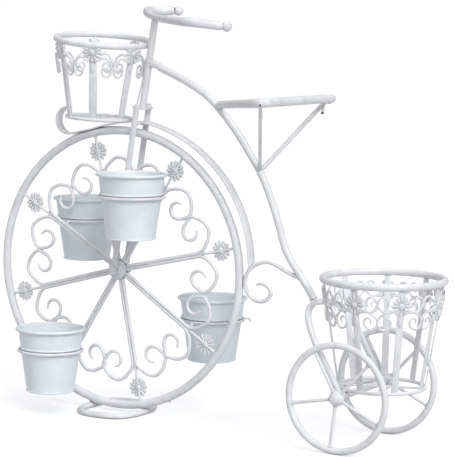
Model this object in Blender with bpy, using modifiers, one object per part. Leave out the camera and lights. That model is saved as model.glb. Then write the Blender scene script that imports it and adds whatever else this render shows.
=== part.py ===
"""Bicycle planter: a tricycle-shaped wrought-iron plant stand.

A large spoked front wheel with scrolls and daisies carries four hanging pots.
Two small rear wheels turn on an axle. Wire baskets stand over the front wheel
and between the rear wheels. Metres, +Z up, +X to the rear, near side at -Y.
The origin is on the floor, under the rear end of the foot loop.
"""

import math

import bmesh
import bpy
from mathutils import Matrix, Vector

# Clearances
SEAT_GAP = 0.0003
RUNNING_GAP = 0.0005

# How far a six-sided bar's flats lie from its axis, as a share of its radius
FLAT_SHARE = math.cos(math.pi / 6)

# Front wheel
FRONT_RIM_RADIUS = 0.2725
FRONT_TUBE_RADIUS = 0.0073
RIM_STEPS = 48
SPOKE_COUNT = 8
SPOKE_PHASE_DEG = 13.0
SPOKE_ROD_RADIUS = 0.0032
SPOKE_ROD_OFFSET_SHARE = 0.86
HUB_RADIUS = 0.019
HUB_HALF_LENGTH = 0.011
HUB_PIN_RADIUS = 0.0045
HUB_STEPS = 24

# A scroll of the front wheel, as shares of the rim radius: along the spoke, and sideways from it
SCROLL_PART_SHARE = 0.675
SCROLL_KISS_SHARE = 0.723
SCROLL_OUT_SHARES = (
    (0.722, 0.028), (0.757, 0.064), (0.787, 0.112), (0.797, 0.160), (0.768, 0.218), (0.724, 0.252),
)
SCROLL_IN_SHARES = (
    (0.627, 0.241), (0.595, 0.205), (0.585, 0.160), (0.608, 0.122), (0.655, 0.112), (0.691, 0.138),
    (0.700, 0.172),
)

# Daisies and their stems
FLOWER_RADIUS = 0.018
FLOWER_DEPTH = 0.0048
FLOWER_PETALS = 12
FLOWER_VALLEY_SHARE = 0.84
FLOWER_BOSS_SHARE = 0.32
FLOWER_PLACE_SHARE = 0.868
FLOWER_STEM_RADIUS = 0.0028
FLOWER_STEM_SHARE = 0.706

# Foot loop under the front wheel
FOOT_HALF_LENGTH = 0.064
FOOT_HALF_WIDTH = 0.075
FOOT_TUBE_RADIUS = 0.0066
FOOT_CORNER_SHARE = 0.78
FOOT_STEPS = 28
FOOT_SIDES = 8

# Fork: its heights are above the front rim's centreline
FORK_LEAN_DEG = 8.8
LEG_HALF_SPACING = 0.022
LEG_WIDTH = 0.012
LEG_THICKNESS = 0.004
LEG_RISE = 0.0595
CROWN_RISE = 0.052
CROWN_THICKNESS = 0.0045
CROWN_LENGTH = 0.024
BRIDGE_RISE = 0.021
BRIDGE_THICKNESS = 0.005
BRIDGE_LENGTH = 0.016
PIN_HEAD_RADIUS = 0.0095
PIN_HEAD_LENGTH = 0.005
PIN_DOME_SHARE = 0.55
PIN_STEPS = 12

# Stem and handlebar
STEM_RADIUS = 0.0068
STEM_RISE = 0.2175
BAR_RADIUS = 0.0076
BAR_TURN_DEG = 45.0
BAR_HALF_WIDTH = 0.178
BAR_SWEEP = 0.084
BAR_RISE = 0.012

# Half of the bar as shares of its half width, sweep, rise and grip radius
BAR_SHARES = (
    (0.0, 0.0, 0.0, 0.70), (0.22, 0.03, 0.05, 0.72), (0.50, 0.12, 0.25, 0.86), (0.78, 0.25, 0.55, 0.96),
    (0.90, 0.33, 0.75, 1.0), (0.97, 0.44, 0.88, 1.0), (1.0, 0.58, 0.96, 1.0), (1.0, 1.0, 1.0, 1.0),
)
KNOB_RADIUS = 0.0098
KNOB_NECK_RADIUS = 0.0055
KNOB_NECK_LENGTH = 0.003
KNOB_STEPS = 12
KNOB_ARC_STEPS = 7

# Main tube, as degrees round the front hub and shares of its stand-off from the rim
MAIN_TUBE_RADIUS = 0.0071
MAIN_TUBE_STAND_OFF = 0.130
MAIN_TUBE_SHARES = (
    (79.0, 1.075), (76.5, 1.040), (73.0, 1.018), (67.0, 0.995), (60.5, 0.972), (54.5, 0.918),
    (48.0, 0.864), (40.5, 0.812), (33.0, 0.792), (25.0, 0.765), (17.0, 0.762), (10.0, 0.792),
    (5.5, 0.895), (2.0, 1.022), (-1.2, 1.150), (-3.8, 1.250),
)

# Mudguard rod
MUDGUARD_STAND_OFF = 0.0255
MUDGUARD_BULGE = 0.005
MUDGUARD_RADIUS = 0.0046
MUDGUARD_END_GAP = 0.0008
MUDGUARD_LAST_DEG = 5.4
MUDGUARD_POINTS = 13

# Link scroll between the main tube and the front wheel
LINK_RADIUS = 0.0040
LINK_LOOP_RADIUS = 0.0355
LINK_CENTRE_DROP = 0.003
LINK_FOOT_DEG = 1.6
LINK_NEAREST_SHARE = 0.930
LINK_RISE_SHARES = ((1.62, 0.72), (0.98, 1.02), (0.58, 1.16), (0.16, 1.16))
LINK_TURN_SHARES = (
    (108.0, 1.03), (140.0, 0.98), (172.0, 0.955), (200.0, 0.965), (232.0, 0.975), (266.0, 0.98),
    (296.0, 0.92), (324.0, 0.77), (340.0, 0.50), (352.0, 0.18), (196.0, 0.28),
)

# Seat
SEAT_TUBE_RADIUS = 0.0079
SEAT_NOSE_DEG = 56.6
SEAT_LENGTH = 0.1785
SEAT_HALF_WIDTH = 0.149
SEAT_RISE = 0.0135
SEAT_CORNER_RADIUS = 0.011
SEAT_NOSE_Y = 0.0048
SEAT_NOSE_SET_BACK = 0.0066
SEAT_NOSE_SHARE = 0.88
SEAT_TAPER_SHARE = 0.12
SEAT_BEND_SHARE = 0.16
STRUT_WIDTH = 0.0075
STRUT_THICKNESS = 0.0050
STRUT_FOOT_DEG = 34.2
SEAT_BOLT_RADIUS = 0.0020
SEAT_BOLT_LENGTH = 0.0155
SEAT_BOLT_SHARE = 0.112

# Rear wheels and axle: the axle's set back is from the front rim's rearmost point
REAR_WHEEL_SET_BACK = 0.2625
REAR_WHEEL_RADIUS = 0.103
REAR_TUBE_RADIUS = 0.0063
REAR_RIM_STEPS = 30
REAR_HALF_TRACK = 0.107
REAR_SPOKE_COUNT = 5
REAR_SPOKE_PHASE_DEG = 47.0
REAR_SPOKE_RADIUS = 0.0032
REAR_HUB_RADIUS = 0.0165
REAR_HUB_HALF_LENGTH = 0.0085
AXLE_RADIUS = 0.0064
CAP_RADIUS = 0.0095
CAP_LENGTH = 0.005
CAP_DOME_SHARE = 0.6
CAP_STEPS = 12

# Rear hoop
STAY_RADIUS = 0.0061
STAY_END_GAP = 0.0035
STAY_SHARES = (
    (0.17, 0.02, 0.00), (0.34, 0.06, 0.02), (0.56, 0.15, 0.10), (0.78, 0.27, 0.24), (0.94, 0.45, 0.38),
    (1.0, 0.74, 0.69), (1.0, 0.99, 0.99),
)

# Baskets: radii and heights are of the ring centrelines
BASKET_SLATS = 7
SLAT_WIDTH = 0.013
SLAT_THICKNESS = 0.0025
FLOOR_WIRE_RADIUS = 0.0022
GARLAND_WIRE_RADIUS = 0.0022
REAR_RING_RADIUS = 0.110
REAR_RING_TUBE_RADIUS = 0.0036
REAR_BASE_RADIUS = 0.0795
REAR_BASKET_HEIGHT = 0.196
REAR_BASKET_SET_BACK = 0.0385
REAR_SLAT_PHASE_DEG = -38.6
REAR_FLOWER_DROP = 0.034
REAR_SCROLL_TOP = 0.012
REAR_SCROLL_DEPTH = 0.058
FRONT_RING_RADIUS = 0.0914
FRONT_RING_TUBE_RADIUS = 0.0033
FRONT_BASE_RADIUS = 0.0655
FRONT_BASKET_HEIGHT = 0.146
FRONT_BASKET_X = -0.049
FRONT_BASKET_LEAN_DEG = 3.0
FRONT_SLAT_PHASE_DEG = -23.6
FRONT_FLOWER_DROP = 0.0215
FRONT_SCROLL_TOP = -0.006
FRONT_SCROLL_DEPTH = 0.037
GARLAND_SHARES = (
    (0.30, 0.82), (0.56, 1.0), (0.86, 0.90), (1.0, 0.52), (0.90, 0.14), (0.64, 0.0), (0.44, 0.18),
    (0.50, 0.42), (0.70, 0.42),
)

# Front basket bracket, as degrees round the front hub and shares of its highest stand-off from the rim
BRACKET_WIDTH = 0.012
BRACKET_THICKNESS = 0.003
BRACKET_TAB = 0.006
BRACKET_TOUCH_DEG = 103.0
BRACKET_RUN = 0.052
BRACKET_CURL_RADIUS = 0.027
BRACKET_CURL_END_DEG = 96.0
BRACKET_CURL_STEPS = 8
BRACKET_PASS_SHARES = (0.45, 0.75, 1.0)

# Pots and the rings that hold them
POT_TOP_RADIUS = 0.0652
POT_BASE_RADIUS = 0.0487
POT_HEIGHT = 0.127
POT_WALL = 0.0015
POT_ROLL_RADIUS = 0.0031
POT_ROLL_SHARE = 1.5
POT_BEAD_DROP = 0.040
POT_BEAD_DEPTH = 0.0026
POT_FOOT_DEPTH = 0.0018
POT_STEPS = 20
RING_WIRE_RADIUS = 0.0031
POT_STAND_OFF = 0.085
# Each pot's spoke, its side, and where its ring's centre and arm sit, as shares of the rim radius
POT_SHARES = {
    "front_high": (1, -1, 0.294, 0.558, 0.640),
    "front_low": (5, -1, -0.383, -0.600, 0.690),
    "rear_high": (3, 1, -0.495, 0.306, 0.580),
    "rear_low": (7, 1, 0.600, -0.374, 0.690),
}


def clear_scene():
    for obj in list(bpy.data.objects):
        bpy.data.objects.remove(obj, do_unlink=True)


def new_collection(name):
    found = bpy.data.collections.new(name)
    bpy.context.scene.collection.children.link(found)
    return found


def new_material(name, colour, roughness, metallic):
    made = bpy.data.materials.new(name)
    made.use_nodes = True
    made.diffuse_color = (*colour, 1)
    shader = made.node_tree.nodes["Principled BSDF"]
    shader.inputs["Base Color"].default_value = (*colour, 1)
    shader.inputs["Roughness"].default_value = roughness
    shader.inputs["Metallic"].default_value = metallic
    return made


def new_empty(name, parent=None, location=(0, 0, 0), rotation=(0, 0, 0)):
    empty = bpy.data.objects.new(name, None)
    PARTS.objects.link(empty)
    empty.parent = parent
    empty.location = location
    empty.rotation_euler = rotation
    return empty


def place(obj, name, material, parent=None, location=(0, 0, 0), rotation=(0, 0, 0)):
    """Names an object, gives it its material and sets it in the part's collection."""
    obj.name = name
    obj.data.name = name
    for old in list(obj.users_collection):
        old.objects.unlink(obj)
    PARTS.objects.link(obj)
    obj.parent = parent
    obj.location = location
    obj.rotation_euler = rotation
    obj.data.materials.clear()
    obj.data.materials.append(material)
    return obj


def tube_curve(points, radius, resolution=1, cyclic=False, shares=None, tilt_deg=0.0):
    """A round bar or tube along the points, as a loose curve object."""
    curve = bpy.data.curves.new("tube", "CURVE")
    curve.dimensions = "3D"
    curve.bevel_depth = radius
    curve.bevel_resolution = resolution
    curve.use_fill_caps = not cyclic
    spline = curve.splines.new("POLY")
    spline.points.add(len(points) - 1)
    for index, point in enumerate(points):
        spline.points[index].co = (*point, 1)
        spline.points[index].radius = shares[index] if shares else 1.0
        spline.points[index].tilt = math.radians(tilt_deg)
        spline.use_smooth = True
    spline.use_cyclic_u = cyclic
    obj = bpy.data.objects.new("tube", curve)
    PARTS.objects.link(obj)
    return obj


def tube(name, points, radius, material, parent, resolution=1, cyclic=False, shares=None, tilt_deg=0.0):
    return place(tube_curve(points, radius, resolution, cyclic, shares, tilt_deg), name, material, parent)


def as_mesh(obj):
    """Makes a curve a mesh with its caps welded on."""
    bpy.context.view_layer.update()
    evaluated = obj.evaluated_get(bpy.context.evaluated_depsgraph_get())
    mesh = bpy.data.meshes.new_from_object(evaluated)
    work = bmesh.new()
    work.from_mesh(mesh)
    bmesh.ops.remove_doubles(work, verts=work.verts, dist=1e-6)
    bmesh.ops.recalc_face_normals(work, faces=work.faces)
    work.to_mesh(mesh)
    work.free()
    made = bpy.data.objects.new(obj.name, mesh)
    PARTS.objects.link(made)
    made.matrix_world = obj.matrix_world
    bpy.data.objects.remove(obj, do_unlink=True)
    return made


def combined(pieces, operation, crossing=False):
    """The first mesh object with all the others added to it or cut from it, as a new mesh object.

    A first object whose own surface crosses itself is made one body where crossing is set.
    """
    first = pieces[0]
    others = bpy.data.collections.new("operands")
    bpy.context.scene.collection.children.link(others)
    for piece in pieces[1:]:
        for old in list(piece.users_collection):
            old.objects.unlink(piece)
        others.objects.link(piece)
    join = first.modifiers.new("join", "BOOLEAN")
    join.operation = operation
    join.solver = "EXACT"
    join.use_self = crossing
    join.operand_type = "COLLECTION"
    join.collection = others
    bpy.context.view_layer.update()
    evaluated = first.evaluated_get(bpy.context.evaluated_depsgraph_get())
    mesh = bpy.data.meshes.new_from_object(evaluated)
    made = bpy.data.objects.new("combined", mesh)
    PARTS.objects.link(made)
    for piece in pieces:
        bpy.data.objects.remove(piece, do_unlink=True)
    bpy.data.collections.remove(others)
    return made


def union_of(pieces):
    return combined(pieces, "UNION")


def coped(piece, *neighbours):
    """Cuts a curve's ends to fit against its neighbours, given as fatter curves."""
    return combined([as_mesh(piece)] + [as_mesh(each) for each in neighbours], "DIFFERENCE")


def baked(obj):
    """Moves an object's own place into its mesh."""
    bpy.context.view_layer.update()
    obj.data.transform(obj.matrix_world)
    obj.matrix_world = Matrix.Identity(4)
    return obj


def primitive(operator, **settings):
    operator(**settings)
    obj = bpy.context.object
    obj.select_set(False)
    return obj


def torus(ring_radius, tube_radius, ring_steps, tube_steps):
    obj = primitive(
        bpy.ops.mesh.primitive_torus_add,
        major_radius=ring_radius,
        minor_radius=tube_radius,
        major_segments=ring_steps,
        minor_segments=tube_steps,
    )
    obj.data.shade_smooth()
    return obj


def cylinder(radius, length, sides):
    obj = primitive(bpy.ops.mesh.primitive_cylinder_add, radius=radius, depth=length, vertices=sides)
    return obj


def box(size):
    obj = primitive(bpy.ops.mesh.primitive_cube_add, size=1.0)
    obj.data.transform(Matrix.Diagonal((*size, 1)))
    return obj


def turned(profile, steps):
    """A profile of (radius, height) turned about Z. It runs down the outer side."""
    mesh = bpy.data.meshes.new("turned")
    work = bmesh.new()
    corners = [work.verts.new((radius, 0, height)) for radius, height in profile]
    for one, two in zip(corners, corners[1:]):
        work.edges.new((one, two))
    work.to_mesh(mesh)
    work.free()
    obj = bpy.data.objects.new("turned", mesh)
    PARTS.objects.link(obj)
    return spun(obj, steps)


def spun(obj, steps):
    screw = obj.modifiers.new("turn", "SCREW")
    screw.axis = "Z"
    screw.steps = steps
    screw.render_steps = steps
    screw.use_merge_vertices = True
    screw.merge_threshold = 1e-5
    screw.use_smooth_shade = True
    return obj


def plate(outline, thickness, holes=()):
    """A flat outline in XY, cut with round holes of (centre, radius) and made as thick as asked."""
    curve = bpy.data.curves.new("plate", "CURVE")
    curve.dimensions = "2D"
    curve.fill_mode = "BOTH"
    curve.extrude = thickness / 2
    rings = [outline] + [circle_points(centre, radius, 16) for centre, radius in holes]
    for ring in rings:
        spline = curve.splines.new("POLY")
        spline.points.add(len(ring) - 1)
        for index, (x, y) in enumerate(ring):
            spline.points[index].co = (x, y, 0, 1)
        spline.use_cyclic_u = True
    obj = bpy.data.objects.new("plate", curve)
    PARTS.objects.link(obj)
    return obj


def circle_points(centre, radius, count):
    turns = [math.tau * step / count for step in range(count)]
    return [(centre[0] + radius * math.cos(turn), centre[1] + radius * math.sin(turn)) for turn in turns]


def wheel_point(radius, degrees, y=0.0):
    """A point in the front wheel's plane, measured from its hub."""
    turn = math.radians(degrees)
    return Vector((radius * math.cos(turn), y, radius * math.sin(turn)))


def fork_point(distance, y=0.0):
    """A point on the fork's line, which runs from the front hub through the stem."""
    return wheel_point(distance, 90.0 - FORK_LEAN_DEG, y)


# Places and heights that follow from how the pieces rest on one another
REAR_WHEEL_X = FRONT_RIM_RADIUS + REAR_WHEEL_SET_BACK
REAR_BASKET_X = REAR_WHEEL_X + REAR_BASKET_SET_BACK
LEG_TOP = FRONT_RIM_RADIUS + LEG_RISE
CROWN_PLACE = FRONT_RIM_RADIUS + CROWN_RISE
BRIDGE_PLACE = FRONT_RIM_RADIUS + BRIDGE_RISE
STEM_TOP = FRONT_RIM_RADIUS + STEM_RISE
FRONT_TIRE_RADIUS = FRONT_RIM_RADIUS + FRONT_TUBE_RADIUS
FOOT_CONTACT = FRONT_TIRE_RADIUS + FOOT_TUBE_RADIUS + SEAT_GAP
FOOT_AXIS_Z = FOOT_TUBE_RADIUS * math.cos(math.pi / FOOT_SIDES)
HUB_Z = FOOT_AXIS_Z + math.sqrt(FOOT_CONTACT**2 - FOOT_HALF_LENGTH**2)
REAR_BASKET_Z = REAR_WHEEL_RADIUS + AXLE_RADIUS + SEAT_GAP + REAR_RING_TUBE_RADIUS

clear_scene()
PARTS = new_collection("bicycle_planter")
WHITE = new_material("white_powder_coat", (0.86, 0.86, 0.88), 0.42, 0.0)
TIN = new_material("white_tin_pot", (0.80, 0.84, 0.88), 0.36, 0.0)
STEEL = new_material("dark_bolt_steel", (0.16, 0.15, 0.15), 0.45, 0.9)

# The front wheel's centre line meets the floor one foot length ahead of the origin
ROOT = new_empty("planter_frame", location=(-FOOT_HALF_LENGTH, 0, 0))
WHEEL = new_empty("front_wheel_centre", ROOT, (0, 0, HUB_Z))


def build_front_rim():
    rim = torus(FRONT_RIM_RADIUS, FRONT_TUBE_RADIUS, RIM_STEPS, 8)
    place(rim, "front_rim", WHITE, WHEEL, rotation=(math.pi / 2, -math.radians(SPOKE_PHASE_DEG), 0))


def build_hub():
    bore = HUB_PIN_RADIUS + SEAT_GAP
    leg_face = LEG_HALF_SPACING - LEG_THICKNESS / 2 - SEAT_GAP
    shoulder = HUB_PIN_RADIUS * 2
    profile = (
        (bore, leg_face),
        (shoulder, leg_face),
        (shoulder, HUB_HALF_LENGTH),
        (HUB_RADIUS, HUB_HALF_LENGTH),
        (HUB_RADIUS, -HUB_HALF_LENGTH),
        (shoulder, -HUB_HALF_LENGTH),
        (shoulder, -leg_face),
        (bore, -leg_face),
        (bore, leg_face),
    )
    place(turned(profile, HUB_STEPS), "front_hub", WHITE, WHEEL, rotation=(math.pi / 2, 0, 0))
    head_seat = LEG_HALF_SPACING + LEG_THICKNESS / 2 + SEAT_GAP
    head_end = head_seat + PIN_HEAD_LENGTH
    dome_start = head_seat + PIN_HEAD_LENGTH * PIN_DOME_SHARE
    half_bolt = (
        (0, head_end),
        (PIN_HEAD_RADIUS * PIN_DOME_SHARE, head_end),
        (PIN_HEAD_RADIUS, dome_start),
        (PIN_HEAD_RADIUS, head_seat),
        (HUB_PIN_RADIUS, head_seat),
    )
    bolt = half_bolt + tuple((radius, -height) for radius, height in reversed(half_bolt))
    place(turned(bolt, PIN_STEPS), "hub_bolt", STEEL, WHEEL, rotation=(math.pi / 2, 0, 0))


def scroll_points():
    """One rod of a spoke, in the wheel's plane: out from the hub, then round its scroll."""
    rod_line = SPOKE_ROD_RADIUS * SPOKE_ROD_OFFSET_SHARE
    half_cell = math.pi / SPOKE_COUNT
    kiss_radius = SCROLL_KISS_SHARE * FRONT_RIM_RADIUS
    kiss_gap = SPOKE_ROD_RADIUS * FLAT_SHARE + SEAT_GAP / 2
    kiss = (
        kiss_radius * math.cos(half_cell) + kiss_gap * math.sin(half_cell),
        kiss_radius * math.sin(half_cell) - kiss_gap * math.cos(half_cell),
    )
    points = [(HUB_RADIUS + SEAT_GAP, rod_line), (SCROLL_PART_SHARE * FRONT_RIM_RADIUS, rod_line)]
    points += [(u * FRONT_RIM_RADIUS, v * FRONT_RIM_RADIUS) for u, v in SCROLL_OUT_SHARES]
    points.append(kiss)
    points += [(u * FRONT_RIM_RADIUS, v * FRONT_RIM_RADIUS) for u, v in SCROLL_IN_SHARES]
    return [Vector((u, 0, v)) for u, v in points]


def rosette(radius, depth):
    """A daisy pressed from sheet, its face towards +Z and its back on the XY plane."""
    mesh = bpy.data.meshes.new("rosette")
    work = bmesh.new()
    bmesh.ops.create_cone(
        work,
        cap_ends=True,
        segments=2 * FLOWER_PETALS,
        radius1=radius,
        radius2=radius * FLOWER_BOSS_SHARE,
        depth=depth,
    )
    bmesh.ops.translate(work, verts=work.verts, vec=(0, 0, depth / 2))
    rim = [vert for vert in work.verts if vert.co.xy.length > radius * FLOWER_VALLEY_SHARE]
    rim.sort(key=lambda vert: math.atan2(vert.co.y, vert.co.x))
    for vert in rim[::2]:
        vert.co.x *= FLOWER_VALLEY_SHARE
        vert.co.y *= FLOWER_VALLEY_SHARE
    work.to_mesh(mesh)
    work.free()
    obj = bpy.data.objects.new("rosette", mesh)
    PARTS.objects.link(obj)
    return obj


def build_spokes():
    rod = as_mesh(tube_curve(scroll_points(), SPOKE_ROD_RADIUS))
    rod_mesh = rod.data
    bpy.data.objects.remove(rod, do_unlink=True)
    rod_mesh.shade_smooth()

    stem_start = FLOWER_STEM_SHARE * FRONT_RIM_RADIUS
    stem_end = FRONT_RIM_RADIUS - FRONT_TUBE_RADIUS - SEAT_GAP
    stem = as_mesh(tube_curve([(stem_start, 0, 0), (stem_end, 0, 0)], FLOWER_STEM_RADIUS))
    flower = rosette(FLOWER_RADIUS, FLOWER_DEPTH)
    flower.rotation_euler = (math.pi / 2, 0, 0)
    flower.location = (FLOWER_PLACE_SHARE * FRONT_RIM_RADIUS, FLOWER_DEPTH / 4, 0)
    joined = union_of([baked(flower), baked(stem)])
    stem_mesh = joined.data
    bpy.data.objects.remove(joined, do_unlink=True)

    for index in range(SPOKE_COUNT):
        turn = math.radians(SPOKE_PHASE_DEG + index * 360.0 / SPOKE_COUNT)
        spoke = bpy.data.objects.new("spoke", rod_mesh)
        PARTS.objects.link(spoke)
        place(spoke, f"scroll_spoke_{index + 1}", WHITE, WHEEL, rotation=(0, -turn, 0))
        mirror = spoke.modifiers.new("pair", "MIRROR")
        mirror.use_axis = (False, False, True)
        mirror.use_bisect_axis = (False, False, True)
        mirror.merge_threshold = 1e-5
        mirror.bisect_threshold = 1e-6
        stem = bpy.data.objects.new("stem", stem_mesh)
        PARTS.objects.link(stem)
        place(stem, f"flower_stem_{index + 1}", WHITE, WHEEL, rotation=(0, -turn, 0))


def build_foot():
    """The loop's eight-sided tube is turned so that a flat side lies on the floor."""
    points = []
    for step in range(FOOT_STEPS):
        turn = math.tau * step / FOOT_STEPS
        x = abs(math.cos(turn)) ** FOOT_CORNER_SHARE * math.copysign(1, math.cos(turn))
        y = abs(math.sin(turn)) ** FOOT_CORNER_SHARE * math.copysign(1, math.sin(turn))
        points.append((x * FOOT_HALF_LENGTH, y * FOOT_HALF_WIDTH, FOOT_AXIS_Z))
    half_side_deg = 180.0 / FOOT_SIDES
    loop = tube_curve(points, FOOT_TUBE_RADIUS, resolution=2, cyclic=True, tilt_deg=half_side_deg)
    place(loop, "foot_loop", WHITE, ROOT)


def leg_outline():
    half = LEG_WIDTH / 2
    steps = 6
    points = []
    for centre, first in ((LEG_TOP - half, 0.0), (0.0, math.pi)):
        for step in range(steps + 1):
            turn = first + math.pi * step / steps
            points.append((half * math.cos(turn), centre + half * math.sin(turn)))
    return points


def build_fork():
    lean = math.radians(FORK_LEAN_DEG)
    hole = ((0.0, 0.0), HUB_PIN_RADIUS + SEAT_GAP)
    for side, name in ((-1, "fork_leg_near"), (1, "fork_leg_far")):
        leg = plate(leg_outline(), LEG_THICKNESS, (hole,))
        turn = Matrix.Rotation(lean, 3, "Y") @ Matrix.Rotation(math.pi / 2, 3, "X")
        place(leg, name, WHITE, WHEEL, (0, side * LEG_HALF_SPACING, 0), turn.to_euler())
    inside = 2 * (LEG_HALF_SPACING - LEG_THICKNESS / 2 - SEAT_GAP)
    crown = box((CROWN_LENGTH, inside, CROWN_THICKNESS))
    place(crown, "fork_crown", WHITE, WHEEL, fork_point(CROWN_PLACE), (0, lean, 0))
    bridge = box((BRIDGE_LENGTH, inside, BRIDGE_THICKNESS))
    place(bridge, "fork_bridge", WHITE, WHEEL, fork_point(BRIDGE_PLACE), (0, lean, 0))


def stem_points():
    foot = CROWN_PLACE + CROWN_THICKNESS / 2 + SEAT_GAP
    return [fork_point(foot), fork_point(STEM_TOP)]


def build_stem_and_bar():
    tube("stem", stem_points(), STEM_RADIUS, WHITE, WHEEL, resolution=2)

    bar_middle_radius = BAR_RADIUS * BAR_SHARES[0][3]
    lean = Matrix.Rotation(math.radians(FORK_LEAN_DEG), 3, "Y")
    turned_bar = lean @ Matrix.Rotation(math.radians(BAR_TURN_DEG), 3, "Z")
    middle = fork_point(STEM_TOP + SEAT_GAP + bar_middle_radius)
    centre = new_empty("handlebar_centre", WHEEL, middle, turned_bar.to_euler())
    half = [(back * BAR_SWEEP, side * BAR_HALF_WIDTH, up * BAR_RISE) for side, back, up, _ in BAR_SHARES]
    thick = [share for *_, share in BAR_SHARES]
    near = [(x, -y, z) for x, y, z in half[:0:-1]]
    tube("handlebar", near + half, BAR_RADIUS, WHITE, centre, resolution=2, shares=thick[:0:-1] + thick)

    ball = KNOB_RADIUS
    ball_middle = KNOB_NECK_LENGTH + math.sqrt(ball**2 - KNOB_NECK_RADIUS**2)
    start = math.asin(KNOB_NECK_RADIUS / ball)
    arc = []
    for step in range(KNOB_ARC_STEPS + 1):
        turn = (math.pi - start) * step / KNOB_ARC_STEPS
        arc.append((ball * math.sin(turn), ball_middle + ball * math.cos(turn)))
    profile = [(0, arc[0][1])] + arc[1:] + [(KNOB_NECK_RADIUS, 0), (0, 0)]
    tip = half[-1]
    for side, name in ((-1, "bar_knob_near"), (1, "bar_knob_far")):
        seat = (tip[0] + SEAT_GAP, side * tip[1], tip[2])
        place(turned(profile, KNOB_STEPS), name, WHITE, centre, seat, (0, math.pi / 2, 0))


def main_tube_point(degrees, stand_off_share):
    return wheel_point(FRONT_RIM_RADIUS + MAIN_TUBE_STAND_OFF * stand_off_share, degrees)


def on_main_tube(degrees):
    """The point of the main tube's centreline at this angle round the front hub."""
    rows = MAIN_TUBE_SHARES
    for (high, high_share), (low, low_share) in zip(rows, rows[1:]):
        if low <= degrees <= high:
            along = (high - degrees) / (high - low)
            return main_tube_point(degrees, high_share + along * (low_share - high_share))
    return main_tube_point(*rows[-1])


def main_tube_curve(grown=0.0):
    """The main tube from the stem's axis to the stay hoop's axis."""
    points = [main_tube_point(*row) for row in MAIN_TUBE_SHARES]
    points.insert(0, fork_point(points[0].length))
    return tube_curve(points, MAIN_TUBE_RADIUS + grown, resolution=2)


def build_main_tube():
    stem = tube_curve(stem_points(), STEM_RADIUS + SEAT_GAP, resolution=2)
    hoop = tube_curve(hoop_points(), STAY_RADIUS + SEAT_GAP)
    hoop.location.z = -HUB_Z
    place(coped(main_tube_curve(), stem, hoop), "main_tube", WHITE, WHEEL)


def build_mudguard():
    """The rod over the wheel, from just behind the fork bridge down to the link scroll."""
    bridge_run = BRIDGE_LENGTH / 2 + MUDGUARD_END_GAP
    bridge_deg = math.degrees(bridge_run / (FRONT_RIM_RADIUS + MUDGUARD_STAND_OFF))
    first_deg = 90.0 - FORK_LEAN_DEG - bridge_deg
    points = []
    for step in range(MUDGUARD_POINTS):
        along = step / (MUDGUARD_POINTS - 1)
        stand_off = MUDGUARD_STAND_OFF + MUDGUARD_BULGE * math.sin(math.pi * along**2)
        degrees = first_deg + (MUDGUARD_LAST_DEG - first_deg) * along
        points.append(wheel_point(FRONT_RIM_RADIUS + stand_off, degrees))
    link = tube_curve(link_points(), LINK_RADIUS + SEAT_GAP)
    place(coped(tube_curve(points, MUDGUARD_RADIUS), link), "mudguard", WHITE, WHEEL)


def link_points():
    """The link scroll's line in the wheel's plane, from the main tube's axis round its loop."""
    loop = LINK_LOOP_RADIUS
    rim_face = FRONT_TIRE_RADIUS * math.cos(math.pi / RIM_STEPS)
    centre = Vector((rim_face + SEAT_GAP + LINK_RADIUS + loop * LINK_NEAREST_SHARE, 0, -LINK_CENTRE_DROP))
    points = [on_main_tube(LINK_FOOT_DEG)]
    points += [centre + Vector((loop * x, 0, loop * z)) for x, z in LINK_RISE_SHARES]
    points += [centre + wheel_point(loop * share, degrees) for degrees, share in LINK_TURN_SHARES]
    return points


def build_link():
    link = tube_curve(link_points(), LINK_RADIUS)
    place(coped(link, main_tube_curve(SEAT_GAP)), "link_scroll", WHITE, WHEEL)


def seat_front():
    """The far side bar's front end, against the main tube."""
    nose = on_main_tube(SEAT_NOSE_DEG)
    return Vector((nose.x + SEAT_NOSE_SET_BACK, SEAT_NOSE_Y, nose.z))


def seat_corner():
    """The seat frame's far rear corner: its sharp point, its two directions, and the middle of its bend."""
    nose = on_main_tube(SEAT_NOSE_DEG)
    sharp = Vector((nose.x + SEAT_LENGTH, SEAT_HALF_WIDTH, nose.z + SEAT_RISE))
    side_way = (seat_front() - sharp).normalized()
    back_way = Vector((0, -1, 0))
    half_turn = side_way.angle(back_way) / 2
    inward = (side_way + back_way).normalized()
    middle = sharp + inward * SEAT_CORNER_RADIUS * (1 / math.sin(half_turn) - 1)
    return sharp, side_way, back_way, half_turn, middle


def seat_curve(grown=0.0):
    """The seat's tube from one side of its nose round both corners to the other side."""
    sharp, side_way, back_way, half_turn, middle = seat_corner()
    cut = SEAT_CORNER_RADIUS / math.tan(half_turn)
    one = sharp + side_way * cut
    two = sharp + back_way * cut
    bulge = (sharp - middle) * SEAT_BEND_SHARE
    front = seat_front()
    shoulder = front.lerp(one, SEAT_TAPER_SHARE)
    far = [front, shoulder, one, (one + middle) / 2 + bulge, middle, (two + middle) / 2 + bulge, two]
    near = [Vector((point.x, -point.y, point.z)) for point in reversed(far)]
    shares = [SEAT_NOSE_SHARE] + [1.0] * (2 * len(far) - 2) + [SEAT_NOSE_SHARE]
    return tube_curve(far + near, SEAT_TUBE_RADIUS + grown, resolution=2, shares=shares)


def strut_bar(head, foot, grown=0.0):
    """A flat bar between two points, its broad side upright."""
    run = head - foot
    bar = box((run.length, STRUT_THICKNESS + 2 * grown, STRUT_WIDTH + 2 * grown))
    bar.location = (head + foot) / 2
    bar.rotation_euler = run.to_track_quat("X", "Z").to_euler()
    return baked(bar)


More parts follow.
